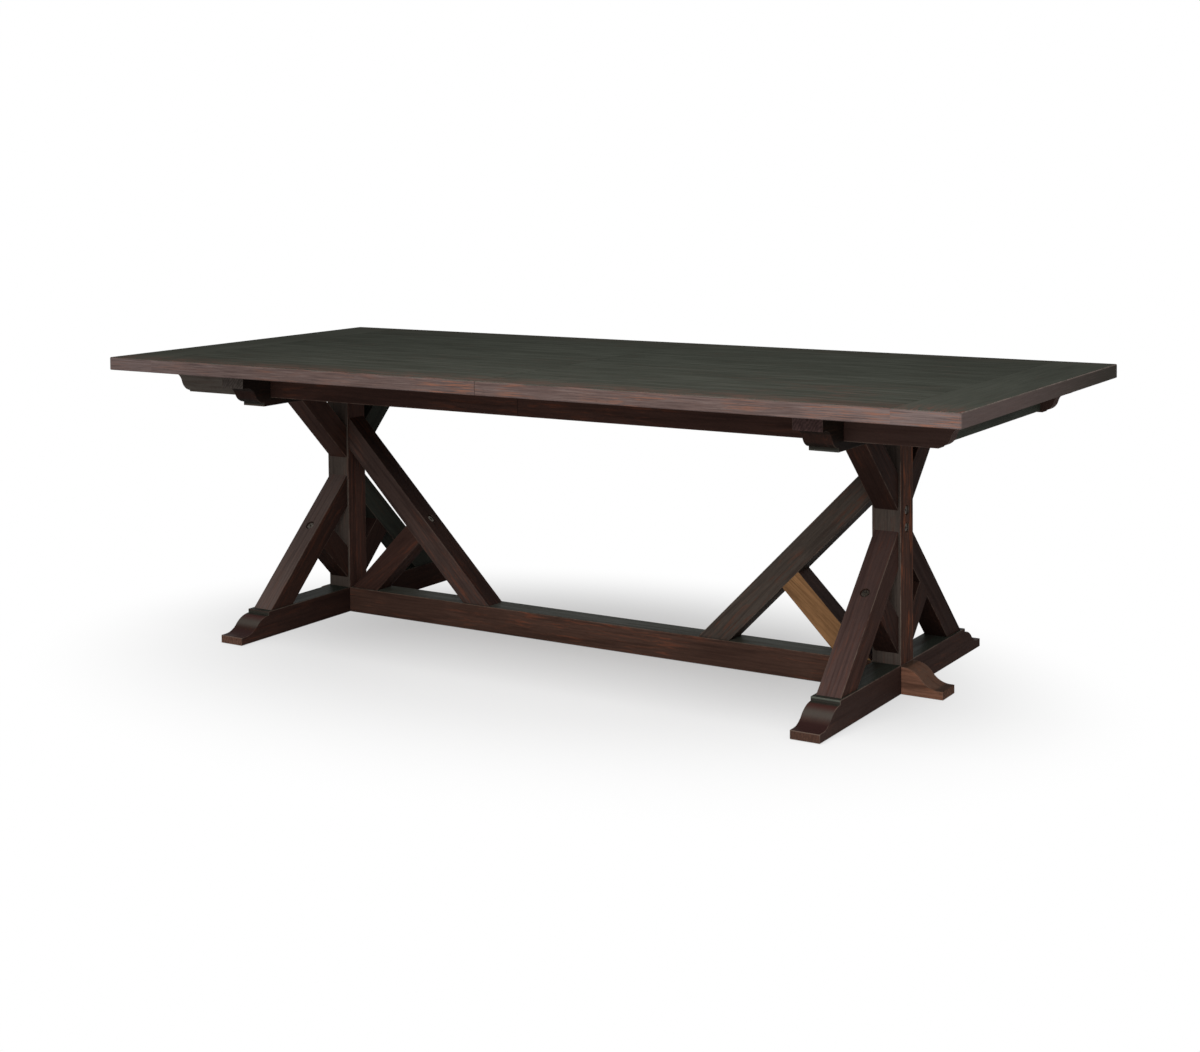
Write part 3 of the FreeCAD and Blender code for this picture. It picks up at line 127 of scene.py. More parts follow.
# The band round its edge is browner. Painted shade darkens it at the back of the ends, and painted light
# makes it palest by the corners.
SIDE_BAND, CORNER_BAND_LIT = stain(94, 79, 75), stain(108, 94, 91)
END_BAND, END_BAND_SHADED_BACK = stain(96, 84, 81), stain(54, 55, 49)
BAND_SHADE, BAND_LIGHT, BAND_WARM = stain(62, 50, 48), stain(124, 110, 106), stain(132, 88, 69)


class Board(NamedTuple):
    """One board: the turn into its own directions (along, across, through), its middle and half its size."""
    turn: Matrix
    middle: Vector
    half: Vector


def along_the_faces(corners, faces):
    """The direction that most of a board's faces run along, which is the way its grain was cut."""
    a, b, c = (corners[faces[:, k]] for k in range(3))
    normals = np.cross(b - a, c - a)
    areas = np.linalg.norm(normals, axis=1)
    normals = normals[areas > 0] / areas[areas > 0, None]
    spread = np.einsum("f,fi,fj->ij", areas[areas > 0], normals, normals)
    return Vector(np.linalg.eigh(spread)[1][:, 0])


def board_of(node, along=None):
    """Reads a node's board: its grain direction, unless that is given, and its box in that direction."""
    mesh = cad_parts[node].data
    mesh.calc_loop_triangles()
    corners = np.array([v.co for v in mesh.vertices])
    faces = np.array([t.vertices[:] for t in mesh.loop_triangles])
    along = Vector(along).normalized() if along else along_the_faces(corners, faces)
    level = Vector(UPRIGHT) if abs(along.z) < 0.999 else Vector(CROSSWISE)
    across = level.cross(along).normalized()
    turn = Matrix((along, across, along.cross(across)))
    own = corners @ np.array(turn).T
    low, high = Vector(own.min(0)), Vector(own.max(0))
    return Board(turn, (low + high) / 2, (high - low) / 2)


class Recipe:
    """The shader of a material or of the room, put together one node at a time."""

    def __init__(self, owner):
        self.owner = owner
        owner.use_nodes = True
        self.tree = owner.node_tree
        self.tree.nodes.clear()

    def add(self, kind, inputs=None, **settings):
        made = self.tree.nodes.new(kind)
        for setting, value in settings.items():
            setattr(made, setting, value)
        for socket, value in (inputs or {}).items():
            self.feed(made.inputs[socket], value)
        return made

    def feed(self, socket, value):
        if isinstance(value, bpy.types.NodeSocket):
            self.tree.links.new(value, socket)
        else:
            socket.default_value = value

    def work(self, operation, first, second=0.0):
        return self.add("ShaderNodeMath", {0: first, 1: second}, operation=operation).outputs[0]

    def sum(self, first, second):
        return self.work("ADD", first, second)

    def less(self, first, second):
        return self.work("SUBTRACT", first, second)

    def times(self, first, second):
        return self.work("MULTIPLY", first, second)

    def size(self, value):
        return self.work("ABSOLUTE", value)

    def smaller(self, first, second):
        return self.work("MINIMUM", first, second)

    def larger(self, first, second):
        return self.work("MAXIMUM", first, second)

    def middle(self, first, second, third):
        """The one of three that lies between the other two."""
        return self.larger(self.smaller(first, second), self.smaller(self.larger(first, second), third))

    def ramp(self, value, start, finish, low=0.0, high=1.0):
        """Rises smoothly from low at start to high at finish."""
        return self.add("ShaderNodeMapRange", {
            "Value": value, "From Min": start, "From Max": finish, "To Min": low, "To Max": high,
        }, interpolation_type="SMOOTHSTEP").outputs[0]

    def between(self, value, rise, fall):
        """1 between two slopes and 0 beyond them. A slope is where it starts and where it is done."""
        return self.times(self.ramp(value, *rise), self.ramp(value, *fall))

    def mix(self, share, first, second):
        return self.add("ShaderNodeMix", {0: share, 6: first, 7: second}, data_type="RGBA").outputs[2]

    def stretched(self, vector, stretch, shift=(0, 0, 0)):
        return self.add("ShaderNodeMapping", {
            "Vector": vector, "Location": shift, "Scale": stretch}).outputs[0]

    def parts(self, vector):
        return self.add("ShaderNodeSeparateXYZ", {0: vector}).outputs

    def noise(self, vector, scale, detail=2.0, rough=0.5, warp=0.0):
        return self.add("ShaderNodeTexNoise", {
            "Vector": vector, "Scale": scale, "Detail": detail, "Roughness": rough, "Distortion": warp,
        }).outputs["Fac"]


class Surface(Recipe):
    """The material of a piece, with the places on it."""

    def __init__(self, name):
        super().__init__(bpy.data.materials.new(name))
        given = self.add("ShaderNodeTexCoord").outputs
        self.place, self.normal = given["Object"], given["Normal"]

    def facing(self, direction):
        """1 where the surface faces that way, 0 where it runs along it, -1 where it faces the other way."""
        return self.add("ShaderNodeVectorMath", {
            0: self.normal, 1: direction}, operation="DOT_PRODUCT").outputs["Value"]

    def show(self, shader):
        output = self.add("ShaderNodeOutputMaterial", {"Surface": shader})
        output.is_active_output = True
        return self.owner

    def coat(self, colour, roughness, height, depth, gloss, metal=0.0):
        """The finished material, with its colour, its roughness and its relief."""
        relief = self.add("ShaderNodeBump", {"Strength": 1.0, "Distance": depth, "Height": height})
        shader = self.add("ShaderNodeBsdfPrincipled", {
            "Base Color": colour, "Roughness": roughness, "Metallic": metal, "Specular IOR Level": gloss,
            "Normal": relief.outputs[0]})
        return self.show(shader.outputs[0])


class Grain(NamedTuple):
    """The grain of one board as numbers from 0 to 1 over its surface."""
    rings: bpy.types.NodeSocket
    lines: bpy.types.NodeSocket
    flecks: bpy.types.NodeSocket
    fibres: bpy.types.NodeSocket
    pores: bpy.types.NodeSocket
    clouds: bpy.types.NodeSocket


def grain_of(recipe, own, seed):
    """Growth rings about a pith outside the board, and lines, flecks, fibres and pores drawn out along it."""
    shift = (seed * 1.37, seed * 0.73, seed * 0.41)
    pith = (0.1 * seed, 0.13, 0.06 + 0.01 * (seed % 5))
    rings = recipe.add("ShaderNodeTexWave", {
        "Vector": recipe.stretched(own, (0.1, 1, 1), pith),
        "Scale": 44.0, "Distortion": 7.0, "Detail": 3.0, "Detail Scale": 1.4, "Detail Roughness": 0.6,
    }, wave_type="RINGS", rings_direction="X").outputs["Fac"]
    long = recipe.stretched(own, (0.045, 1, 1), shift)
    medium = recipe.stretched(own, (0.1, 1, 1), shift)
    short = recipe.stretched(own, (0.45, 1, 1), shift)
    return Grain(
        rings=rings,
        lines=recipe.noise(long, scale=75, detail=4.0, rough=0.6, warp=0.3),
        flecks=recipe.noise(medium, scale=110, detail=3.0, rough=0.65, warp=0.5),
        fibres=recipe.noise(medium, scale=420, detail=3.0, rough=0.6),
        pores=recipe.ramp(recipe.noise(medium, scale=700), 0.62, 0.74),
        clouds=recipe.noise(short, scale=7.0, detail=3.0, rough=0.55, warp=0.4))


class BoardSurface(Surface):
    """The material of one board: x, y and z on the table, the place in the board's own directions from its
    middle, and its grain."""

    def __init__(self, name, board, seed):
        super().__init__(name)
        self.board = board
        self.own = self.add("ShaderNodeMapping", {
            "Vector": self.place, "Location": -board.middle, "Rotation": board.turn.to_euler()}).outputs[0]
        self.grain = grain_of(self, self.own, seed)
        self.x, self.y, self.z = self.parts(self.place)


def stained(recipe, finish):
    """The stain along a board: cloudy, darker in the grain, with flecks of warm wood where it is thin."""
    grain = recipe.grain
    colour = recipe.mix(recipe.ramp(grain.clouds, 0.35, 0.7, high=0.4), finish.ground, finish.shade)
    colour = recipe.mix(recipe.ramp(grain.lines, 0.46, 0.7, high=0.65), colour, finish.shade)
    colour = recipe.mix(recipe.ramp(grain.rings, 0.55, 1.0, high=0.22), colour, finish.shade)
    thin = recipe.times(recipe.ramp(grain.flecks, 0.5, 0.68), recipe.ramp(grain.clouds, 0.62, 0.38))
    colour = recipe.mix(recipe.times(thin, finish.warmth), colour, finish.warm)
    return recipe.mix(recipe.ramp(grain.fibres, 0.45, 0.75, high=0.3), colour, finish.shade)


def end_grain(recipe, finish):
    """The colour of a board's sawn ends, with rings and dark flecks."""
    ringed = recipe.mix(recipe.ramp(recipe.grain.rings, 0.3, 0.9, high=0.4), finish.end, finish.ground)
    return recipe.mix(recipe.ramp(recipe.grain.flecks, 0.4, 0.65, high=0.35), ringed, finish.shade)


# How far in from an edge its rub and painted highlight start, and where they are full.
RUBBED_HIGHLIT_ARRIS = (2.6 * MM, 0.8 * MM)


def arrises(recipe):
    """The rims of a board: the edges of its sides on every face that isn't a side, and of its faces on the
    sides and ends."""
    board = recipe.board
    _, across, through = recipe.parts(recipe.own)
    off_side = recipe.ramp(recipe.size(recipe.facing(board.turn[1])), 0.95, 0.7)
    off_face = recipe.ramp(recipe.size(recipe.facing(board.turn[2])), 0.95, 0.7)
    by_side = recipe.ramp(recipe.less(board.half.y, recipe.size(across)), *RUBBED_HIGHLIT_ARRIS)
    by_face = recipe.ramp(recipe.less(board.half.z, recipe.size(through)), *RUBBED_HIGHLIT_ARRIS)
    return recipe.larger(recipe.times(by_side, off_side), recipe.times(by_face, off_face))


# How far in from its edge the strip along a lip's rim starts, and where it is full.
LIP_RIM = (5 * MM, 3 * MM)


def lip(recipe, rim_stain):
    """The colour of a lip's upright face: a strip along its rim in a stain of its own, and shade beyond."""
    through = recipe.parts(recipe.own)[2]
    from_rim = recipe.less(recipe.board.half.z, recipe.size(through))
    return recipe.mix(recipe.ramp(from_rim, *LIP_RIM), LIP_SHADE, rim_stain)


# The shades of a foot's toe, each from where it starts to where it is full or gone: the rim of the toe's flat
# part, rubbed and with a painted highlight, the painted shade of the hollow above it, the painted sheen on
# the steep part of the ogee and the blush under the lip.
TOE_RIM_RISE, TOE_RIM_FALL = (TOE_TOP - 3 * MM, TOE_TOP - MM), (TOE_TOP + 3 * MM, TOE_TOP)
TOE_RIM_OUTWARD = (TOE_END - 3 * MM, TOE_END - MM)
HOLLOW_SHADE_FALL = (36 * MM, 28 * MM)
SHEEN_RISE, SHEEN_FALL = (33 * MM, 46 * MM), (61 * MM, 48 * MM)
BLUSH_RISE, BLUSH_FALL = (48 * MM, 56 * MM), (65 * MM, 63 * MM)
RIM_SHARE, BLUSH_SHARE, SHEEN_SHARE = 0.6, 0.75, 0.85


def toe(recipe, colour, finish, upward, endward):
    """Adds the shades of a foot's toes to its colour, painted shade and a painted sheen on the ogee among
    them.
    """
    rim = recipe.between(recipe.z, TOE_RIM_RISE, TOE_RIM_FALL)
    rim = recipe.times(rim, recipe.ramp(recipe.size(recipe.y), *TOE_RIM_OUTWARD))
    sloped = recipe.ramp(upward, 0.02, 0.1)
    ogee = recipe.times(recipe.ramp(endward, 0.05, 0.3), sloped)
    # Painted shade in the hollow of the ogee, and a painted sheen on its steep part.
    hollow_shade = recipe.times(recipe.ramp(recipe.z, *HOLLOW_SHADE_FALL), sloped)
    sheen = recipe.times(recipe.between(recipe.z, SHEEN_RISE, SHEEN_FALL), ogee)
    blush = recipe.times(recipe.between(recipe.z, BLUSH_RISE, BLUSH_FALL), ogee)
    colour = recipe.mix(recipe.times(rim, RIM_SHARE), colour, finish.worn_and_highlight)
    colour = recipe.mix(hollow_shade, colour, TOE_HOLLOW_SHADE)
    colour = recipe.mix(recipe.times(blush, BLUSH_SHARE), colour, TOE_BLUSH)
    return recipe.mix(recipe.times(sheen, SHEEN_SHARE), colour, TOE_SHEEN)


# Where an apron's end changes colour, and how far from its middle the shadow of its joint starts and is full.
BEYOND_BEAM = (BEAM_OUTSIDE, BEAM_OUTSIDE + 4 * MM)
APRON_SEAM = (1.5 * MM, 0.4 * MM)


def wood(name, finish, board, seed, sides=None, lips=None, toes=False, curved=None, outer=None):
    """A stained board: grain, warm wood that shows through, a painted sheen on level faces and arrises
    lightened by rubs and a painted highlight. Its front and back may have a finish of their own, on some
    braces a painted sheen. The rims of its lips, its curves and its part beyond the crossbeams may each have
    a stain, and a foot's toes have shades, with painted light and shade among them."""
    recipe = BoardSurface(name, board, seed)
    grain = recipe.grain
    upward = recipe.facing(UPRIGHT)
    endward = recipe.size(recipe.facing(board.turn[0]))
    inside = recipe.ramp(recipe.size(recipe.y), LIP_LIMIT, LIP_LIMIT - MM)
    sawn = recipe.ramp(endward, 0.95, 0.99)

    colour = stained(recipe, finish)
    # A front and back of their own, which on the lower front braces is a painted sheen.
    if sides:
        sideward = recipe.ramp(recipe.size(recipe.facing(CROSSWISE)), 0.6, 0.8)
        colour = recipe.mix(sideward, colour, stained(recipe, sides))
    # Painted sheen: faces that lie level take the greener grey of the finish's level colour.
    level = recipe.times(recipe.ramp(upward, 0.97, 0.995), inside)
    dull = recipe.mix(recipe.ramp(grain.lines, 0.4, 0.7, high=0.45), finish.level, finish.shade)
    colour = recipe.mix(level, colour, dull)
    colour = recipe.mix(sawn, colour, end_grain(recipe, finish))
    if lips:
        colour = recipe.mix(recipe.times(sawn, inside), colour, lip(recipe, lips))
    if toes:
        colour = toe(recipe, colour, finish, upward, endward)
    if curved:
        slope = recipe.times(recipe.ramp(upward, 0.1, 0.4), recipe.ramp(grain.lines, 0.7, 0.4, 0.5, 1.0))
        colour = recipe.mix(recipe.times(slope, 0.7), colour, curved)
    if outer:
        from_middle = recipe.size(recipe.x)
        beyond = recipe.times(
            recipe.ramp(from_middle, *BEYOND_BEAM), recipe.ramp(grain.lines, 0.7, 0.4, 0.5, 0.95))
        colour = recipe.mix(beyond, colour, outer)
        colour = recipe.mix(recipe.ramp(from_middle, *APRON_SEAM, high=0.7), colour, JOINT_SHADOW)

    # Rubbed arrises, lightened by the same colour that also stands in as a painted highlight.
    touched = recipe.ramp(recipe.noise(recipe.own, scale=18, detail=4.0, rough=0.65), 0.35, 0.6)
    rubbed_and_highlit = recipe.times(arrises(recipe), touched)
    colour = recipe.mix(recipe.times(rubbed_and_highlit, finish.wear), colour, finish.worn_and_highlight)
    colour = recipe.mix(recipe.times(grain.pores, 0.4), colour, finish.shade)

    height = recipe.sum(recipe.times(grain.fibres, 0.6), recipe.times(grain.rings, 0.2))
    height = recipe.less(height, recipe.times(grain.pores, 0.5))
    roughness = recipe.ramp(grain.lines, 0.3, 0.7, finish.roughness - 0.06, finish.roughness + 0.08)
    return recipe.coat(colour, roughness, height, depth=0.2 * MM, gloss=finish.gloss)


# Where the top's colours change, from where a change starts to where it is full. The reddish wood shows near
# the long sides, towards the front, and in an area at the front of the right panel.
NEAR_SIDE, TOWARDS_FRONT = (0.14, 0.0), (0.1, -0.4)
THIN_RIGHTWARD, THIN_FORWARD = (0.3, 0.8), (0.0, -0.25)

# The band darkens along the ends towards the back as painted shade, pales towards the corners as painted
# light, and reddens from the left end to the middle.
BAND_SHADE_BACKWARD, BAND_LIT_TO_CORNERS, BAND_WARM_FROM_LEFT = (-0.35, 0.6), (0.7, 1.2), (-0.9, 0.1)

# The widths of the top's rims, which are rubbed and given a painted highlight, and of the lines at its
# joints.
BAND_BELOW_FACE, RUBBED_HIGHLIT_RIM, RUB_HIGHLIGHT_OFF_SIDE = (0.8 * MM, 2.6 * MM), (3.2 * MM, 0.8 * MM), (2 * MM, 8 * MM)
JOINT_LINE, JOINT_ON_FACE, SEAM_LINE = (1.4 * MM, 0.3 * MM), (2 * MM, MM), (1.6 * MM, 0.4 * MM)


class Inwards(NamedTuple):
    """How far a place on the top lies in from its long sides, from its ends and from its upper face."""
    side: bpy.types.NodeSocket
    end: bpy.types.NodeSocket
    face: bpy.types.NodeSocket


def top_face(recipe, fine, inwards, seed, breadboard):
    """The upper face: charcoal in streaks, with reddish specks along its front rim and in its clouds, and on
    the right panel where the stain is thin. A breadboard end is plainer."""
    clouds = recipe.grain.clouds
    grain_share, streak_share = (0.4, 0.08) if breadboard else (0.9, 0.3)
    face = recipe.mix(recipe.ramp(clouds, 0.3, 0.75, high=0.35), TOP_GROUND, TOP_SHADE)
    face = recipe.mix(recipe.ramp(fine, 0.44, 0.62, high=grain_share), face, TOP_SHADE)
    streaks = recipe.noise(recipe.stretched(recipe.own, (0.03, 1, 1), (seed, 0.3, 0)), scale=75, rough=0.6)
    face = recipe.mix(recipe.ramp(streaks, 0.48, 0.6, high=streak_share), face, TOP_SHADE)
    face = recipe.mix(recipe.ramp(streaks, 0.45, 0.36, high=streak_share), face, TOP_STREAK)

    along = recipe.stretched(recipe.own, (0.05, 1, 1), (0.4, seed, 0))
    speckle = recipe.noise(along, scale=330, detail=3.0, rough=0.6)
    by_rim = recipe.times(
        recipe.ramp(inwards.side, *NEAR_SIDE, 0.06, 0.75), recipe.ramp(recipe.y, *TOWARDS_FRONT, 0.2, 1.0))
    in_clouds = recipe.times(recipe.ramp(speckle, 0.6, 0.7), recipe.ramp(clouds, 0.5, 0.6, high=0.4))
    red = recipe.larger(recipe.times(recipe.ramp(speckle, 0.46, 0.6), by_rim), in_clouds)
    if not breadboard:
        thin = recipe.times(recipe.ramp(recipe.x, *THIN_RIGHTWARD), recipe.ramp(recipe.y, *THIN_FORWARD))
        thin = recipe.times(thin, recipe.ramp(clouds, 0.45, 0.6, 0.05, 0.45))
        red = recipe.larger(red, recipe.times(recipe.ramp(speckle, 0.5, 0.62), thin))
    return recipe.mix(red, face, TOP_WARM)


def edge_band(recipe, seed):
    """The band round the top's edge. Its grain runs level along every side, fine and broken, redder in
    patches along the front and back."""
    level = recipe.stretched(recipe.place, (0.035, 0.035, 1), (seed * 0.3, 0.2, 0))
    thread = recipe.noise(level, scale=300, detail=4.0, rough=0.7)
    level = recipe.stretched(recipe.place, (0.03, 0.03, 1), (0.1, seed * 0.2, 0))
    dash = recipe.noise(level, scale=420, rough=0.55)
    frontward = recipe.ramp(recipe.size(recipe.facing(CROSSWISE)), 0.3, 0.8)
    grain_share = recipe.ramp(frontward, 0.0, 1.0, 0.35, 1.0)
    # Painted shade towards the back of the ends, and painted light towards the corners of the sides.
    ends_shaded_to_back = recipe.mix(recipe.ramp(recipe.y, *BAND_SHADE_BACKWARD, high=0.8), END_BAND, END_BAND_SHADED_BACK)
    sides_lit_to_corners = recipe.mix(recipe.ramp(recipe.size(recipe.x), *BAND_LIT_TO_CORNERS), SIDE_BAND, CORNER_BAND_LIT)
    band = recipe.mix(frontward, ends_shaded_to_back, sides_lit_to_corners)
    band = recipe.mix(recipe.times(grain_share, recipe.ramp(thread, 0.42, 0.7, high=0.6)), band, BAND_SHADE)
    band = recipe.mix(recipe.times(grain_share, recipe.ramp(thread, 0.46, 0.3, high=0.4)), band, BAND_LIGHT)
    patches = recipe.times(recipe.ramp(recipe.noise(recipe.place, scale=5.5), 0.42, 0.62, 0.05, 0.8),
                           recipe.ramp(recipe.x, *BAND_WARM_FROM_LEFT, 0.3, 1.0))
    red = recipe.times(recipe.ramp(dash, 0.5, 0.63), patches)
    return recipe.mix(recipe.times(red, recipe.ramp(frontward, 0.0, 1.0, 0.05, 1.0)), band, BAND_WARM)


def rubbed_highlit_rims(recipe, inwards):
    """How far the top's arrises are lightened by rubs and a painted highlight, which is less along its long
    sides.
    Only by an arris is the middle one of the three distances small."""
    arris = recipe.ramp(recipe.middle(inwards.side, inwards.end, inwards.face), *RUBBED_HIGHLIT_RIM)
    touched = recipe.ramp(recipe.noise(recipe.place, scale=16, detail=4.0, rough=0.65), 0.35, 0.6, 0.4, 0.9)
    off_sides = recipe.ramp(inwards.side, *RUB_HIGHLIGHT_OFF_SIDE, 0.25, 1.0)
    return recipe.times(recipe.times(arris, touched), off_sides)


def joint_shadows(recipe, inwards):
    """Fine dark lines where the breadboard ends meet the panels, and across the middle, where the halves
    meet."""
    from_middle = recipe.size(recipe.x)
    from_joint = recipe.size(recipe.less(from_middle, END_JOINT))
    joint = recipe.times(
        recipe.ramp(from_joint, *JOINT_LINE, high=0.3), recipe.ramp(inwards.face, *JOINT_ON_FACE))
    seam = recipe.ramp(from_middle, *SEAM_LINE, high=0.6)
    return recipe.larger(joint, seam)


def tabletop(name, board, seed, breadboard):
    """The top: charcoal over its face, browner on the band round its edge with painted shade and light along
    it, rims lightened by rubs and a painted highlight, and dark joints."""
    recipe = BoardSurface(name, board, seed)
    grain = recipe.grain
    inwards = Inwards(
        side=recipe.less(HALF_DEPTH, recipe.size(recipe.y)),
        end=recipe.less(HALF_LENGTH, recipe.size(recipe.x)),
        face=recipe.less(TABLE_TOP, recipe.z))
    along = recipe.stretched(recipe.own, (0.022, 1, 1), (seed, 0, 0))
    fine = recipe.noise(along, scale=290, detail=5.0, rough=0.7)

    below_face = recipe.ramp(inwards.face, *BAND_BELOW_FACE)
    face = top_face(recipe, fine, inwards, seed, breadboard)
    colour = recipe.mix(below_face, face, edge_band(recipe, seed))
    # Rims lightened by rubs and a painted highlight.
    colour = recipe.mix(recipe.times(rubbed_highlit_rims(recipe, inwards), TOP_WEAR_HIGHLIGHT), colour, TOP_WORN_HIGHLIGHT)
    colour = recipe.mix(joint_shadows(recipe, inwards), colour, JOINT_SHADOW)
    colour = recipe.mix(recipe.times(grain.pores, 0.35), colour, TOP_SHADE)

    height = recipe.sum(recipe.times(fine, 0.7), recipe.times(grain.fibres, 0.4))
    height = recipe.less(height, recipe.times(grain.pores, 0.5))
    roughness = recipe.ramp(fine, 0.3, 0.7, TOP_ROUGHNESS - 0.05, TOP_ROUGHNESS + 0.1)
    return recipe.coat(colour, roughness, height, depth=0.15 * MM, gloss=TOP_GLOSS)


# How much finer a metal's scratches are than its clouds, and moulded texture than its mottle.
SCRATCHES_FINER, TEXTURE_FINER = 9, 14


def metal(name, colour, dull, roughness, scale):
    """Plated or blackened steel: cloudy colour, fine scratches and dull spots."""
    recipe = Surface(name)
    clouds = recipe.noise(recipe.place, scale, detail=4.0, rough=0.6)
    drawn_out = recipe.stretched(recipe.place, (1, 0.12, 0.12))
    scratches = recipe.noise(drawn_out, scale * SCRATCHES_FINER, detail=3.0, rough=0.6)
    tone = recipe.mix(recipe.ramp(clouds, 0.35, 0.7), colour, dull)
    rough = recipe.ramp(scratches, 0.3, 0.7, roughness - 0.08, roughness + 0.14)
    return recipe.coat(tone, rough, scratches, depth=0.03 * MM, gloss=0.5, metal=1.0)


def plastic(name, colour, shade, roughness, scale):
    """Moulded nylon: faintly mottled, with a fine moulded texture."""
    recipe = Surface(name)
    mottle = recipe.noise(recipe.place, scale, detail=3.0, rough=0.6)
    texture = recipe.noise(recipe.place, scale * TEXTURE_FINER)
    tone = recipe.mix(recipe.ramp(mottle, 0.35, 0.7), colour, shade)
    rough = recipe.ramp(texture, 0.3, 0.7, roughness - 0.05, roughness + 0.08)
    return recipe.coat(tone, rough, texture, depth=0.05 * MM, gloss=0.35)


def dress(node, material):
    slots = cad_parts[node].data.materials
    slots.clear()
    slots.append(material)


def frame_boards():
    """The boards of the frame, and the way their grain runs, or None where their faces tell it."""
    yield "stretcher", LENGTHWISE
    for side in SIDES:
        yield f"cross_foot_{side}", CROSSWISE
        yield f"crossbeam_{side}", CROSSWISE
        yield f"end_rail_{side}", CROSSWISE
        yield f"outer_foot_{side}", LENGTHWISE
        yield f"post_{side}", UPRIGHT
        yield f"long_brace_{side}", None
        yield f"long_strut_{side}", None
        for place in PLACES:
            yield f"apron_{side}_{place}", LENGTHWISE
            yield f"lower_brace_{side}_{place}", None
            yield f"upper_brace_{side}_{place}", None
            yield f"side_strut_{side}_{place}", None


def hidden_boards():
    """The unstained boards under the top, and the way their grain runs."""
    yield "centre_rail", CROSSWISE
    yield "apron_splices", LENGTHWISE
    yield "corner_blocks", UPRIGHT
    yield "seam_pins", LENGTHWISE
    for place in PLACES:
        yield f"fixed_runner_{place}", LENGTHWISE
    for side in SIDES:
        for place in PLACES:
            yield f"slide_{side}_{place}", LENGTHWISE


DARKER_KINDS = ("upper_brace", "side_strut", "lower_brace_left", "lower_brace_right_back", "long_brace_left",
                "long_strut_right")
# Whole-board finishes, among them painted shade on the left back braces and painted sheen on the end rails.
BOARD_STAINS_AND_PAINTED_LIGHT = {
    "stretcher": STRETCHER_STAIN, "post_right": RIGHT_POST_STAIN, "long_brace_right": RIGHT_LONG_BRACE_STAIN,
    "cross_foot_left": LEFT_FOOT_STAIN, "cross_foot_right": RIGHT_FOOT_STAIN,
    "outer_foot_left": OUTER_FOOT_STAIN, "outer_foot_right": OUTER_FOOT_STAIN,
    "crossbeam_left": LEFT_BEAM_STAIN, "crossbeam_right": RIGHT_BEAM_STAIN,
    "upper_brace_left_front": UPPER_BRACE_STAIN, "upper_brace_left_back": BACK_BRACE_SHADE,
    "lower_brace_left_back": BACK_BRACE_SHADE,
    "end_rail_left": END_RAIL_SHEEN, "end_rail_right": END_RAIL_SHEEN}
# Fronts and backs of their own; those of the lower front braces are a painted sheen.
FRONT_STAINS_AND_SHEENS = {
    "post_left": POST_FRONT, "post_right": POST_FRONT,
    "crossbeam_left": DARK_STAIN, "crossbeam_right": DARK_STAIN,
    "lower_brace_left_front": LEFT_BRACE_FRONT_SHEEN, "lower_brace_right_front": RIGHT_BRACE_FRONT_SHEEN,
    "long_brace_left": LONG_BRACE_FRONT, "long_strut_right": LONG_STRUT_FRONT}
LIP_STAINS = {
    "cross_foot_left": stain(58, 49, 44), "cross_foot_right": stain(84, 88, 80),
    "crossbeam_left": stain(86, 75, 67), "crossbeam_right": stain(66, 67, 62)}
CURVE_STAINS = {f"outer_foot_{side}": FOOT_CURVE for side in SIDES}
OUTER_STAINS = {f"apron_left_{place}": LEFT_APRON_END for place in PLACES}
OUTER_STAINS |= {f"apron_right_{place}": RIGHT_APRON_END for place in PLACES}

# Every board has a seed of its own, and each kind of board counts its seeds on from one of these.
PANEL_SEED, BREADBOARD_SEED, FRAME_SEED, HIDDEN_SEED = 0, 2, 4, 40

for number, side in enumerate(SIDES):
    panel, breadboard = f"top_panel_{side}", f"end_board_{side}"
    dress(panel, tabletop(panel, board_of(panel, LENGTHWISE), PANEL_SEED + number, False))
    dress(breadboard, tabletop(breadboard, board_of(breadboard, CROSSWISE), BREADBOARD_SEED + number, True))

for seed, (node, along) in enumerate(frame_boards(), FRAME_SEED):
    finish = BOARD_STAINS_AND_PAINTED_LIGHT.get(node, DARK_STAIN if node.startswith(DARKER_KINDS) else FRAME_STAIN)
    dress(node, wood(
        node, finish, board_of(node, along), seed,
        sides=FRONT_STAINS_AND_SHEENS.get(node), lips=LIP_STAINS.get(node), toes=node.startswith("cross_foot"),
        curved=CURVE_STAINS.get(node), outer=OUTER_STAINS.get(node)))

for seed, (node, along) in enumerate(hidden_boards(), HIDDEN_SEED):
    dress(node, wood(node, BARE_WOOD, board_of(node, along), seed))

zinc_steel = metal("zinc_steel", stain(176, 178, 180), stain(128, 130, 132), roughness=0.34, scale=60)
bolt_steel = metal("bolt_steel", stain(112, 106, 98), stain(66, 60, 55), roughness=0.4, scale=90)
white_nylon = plastic("white_nylon", stain(214, 210, 198), stain(196, 190, 176), roughness=0.45, scale=50)
dark_nylon = plastic("dark_nylon", stain(44, 43, 42), stain(30, 30, 30), roughness=0.55, scale=50)
for node in ("pinion_pins", "runner_screws", "slide_screws_left", "slide_screws_right", "racks_left",
             "racks_right", "catch_plates", "catch_keepers", "catch_lever_front", "catch_lever_back"):
    dress(node, zinc_steel)
dress("frame_bolts", bolt_steel)
dress("pinion_front", white_nylon)
dress("pinion_back", white_nylon)
dress("glides", dark_nylon)

WHITE = (1, 1, 1, 1)
# The floor's grey paint, which is also the grey of the painted shadow about the table.
FLOOR_PAINT_AND_SHADOW = (0.7, 0.7, 0.7, 1.0)
FLOOR_REACH = 14.0

# The floor fades from a little lifted about the table's middle to white at the rim of an oval and beyond, so
# that its grey within the oval is a painted shadow.
SHADOW_OVAL_REACH, SHADOW_OVAL_SHIFT = (1.55, 1.1), 0.2
FADE_START, FADE_END, FLOOR_LIFT = 0.35, 1.0, 0.36


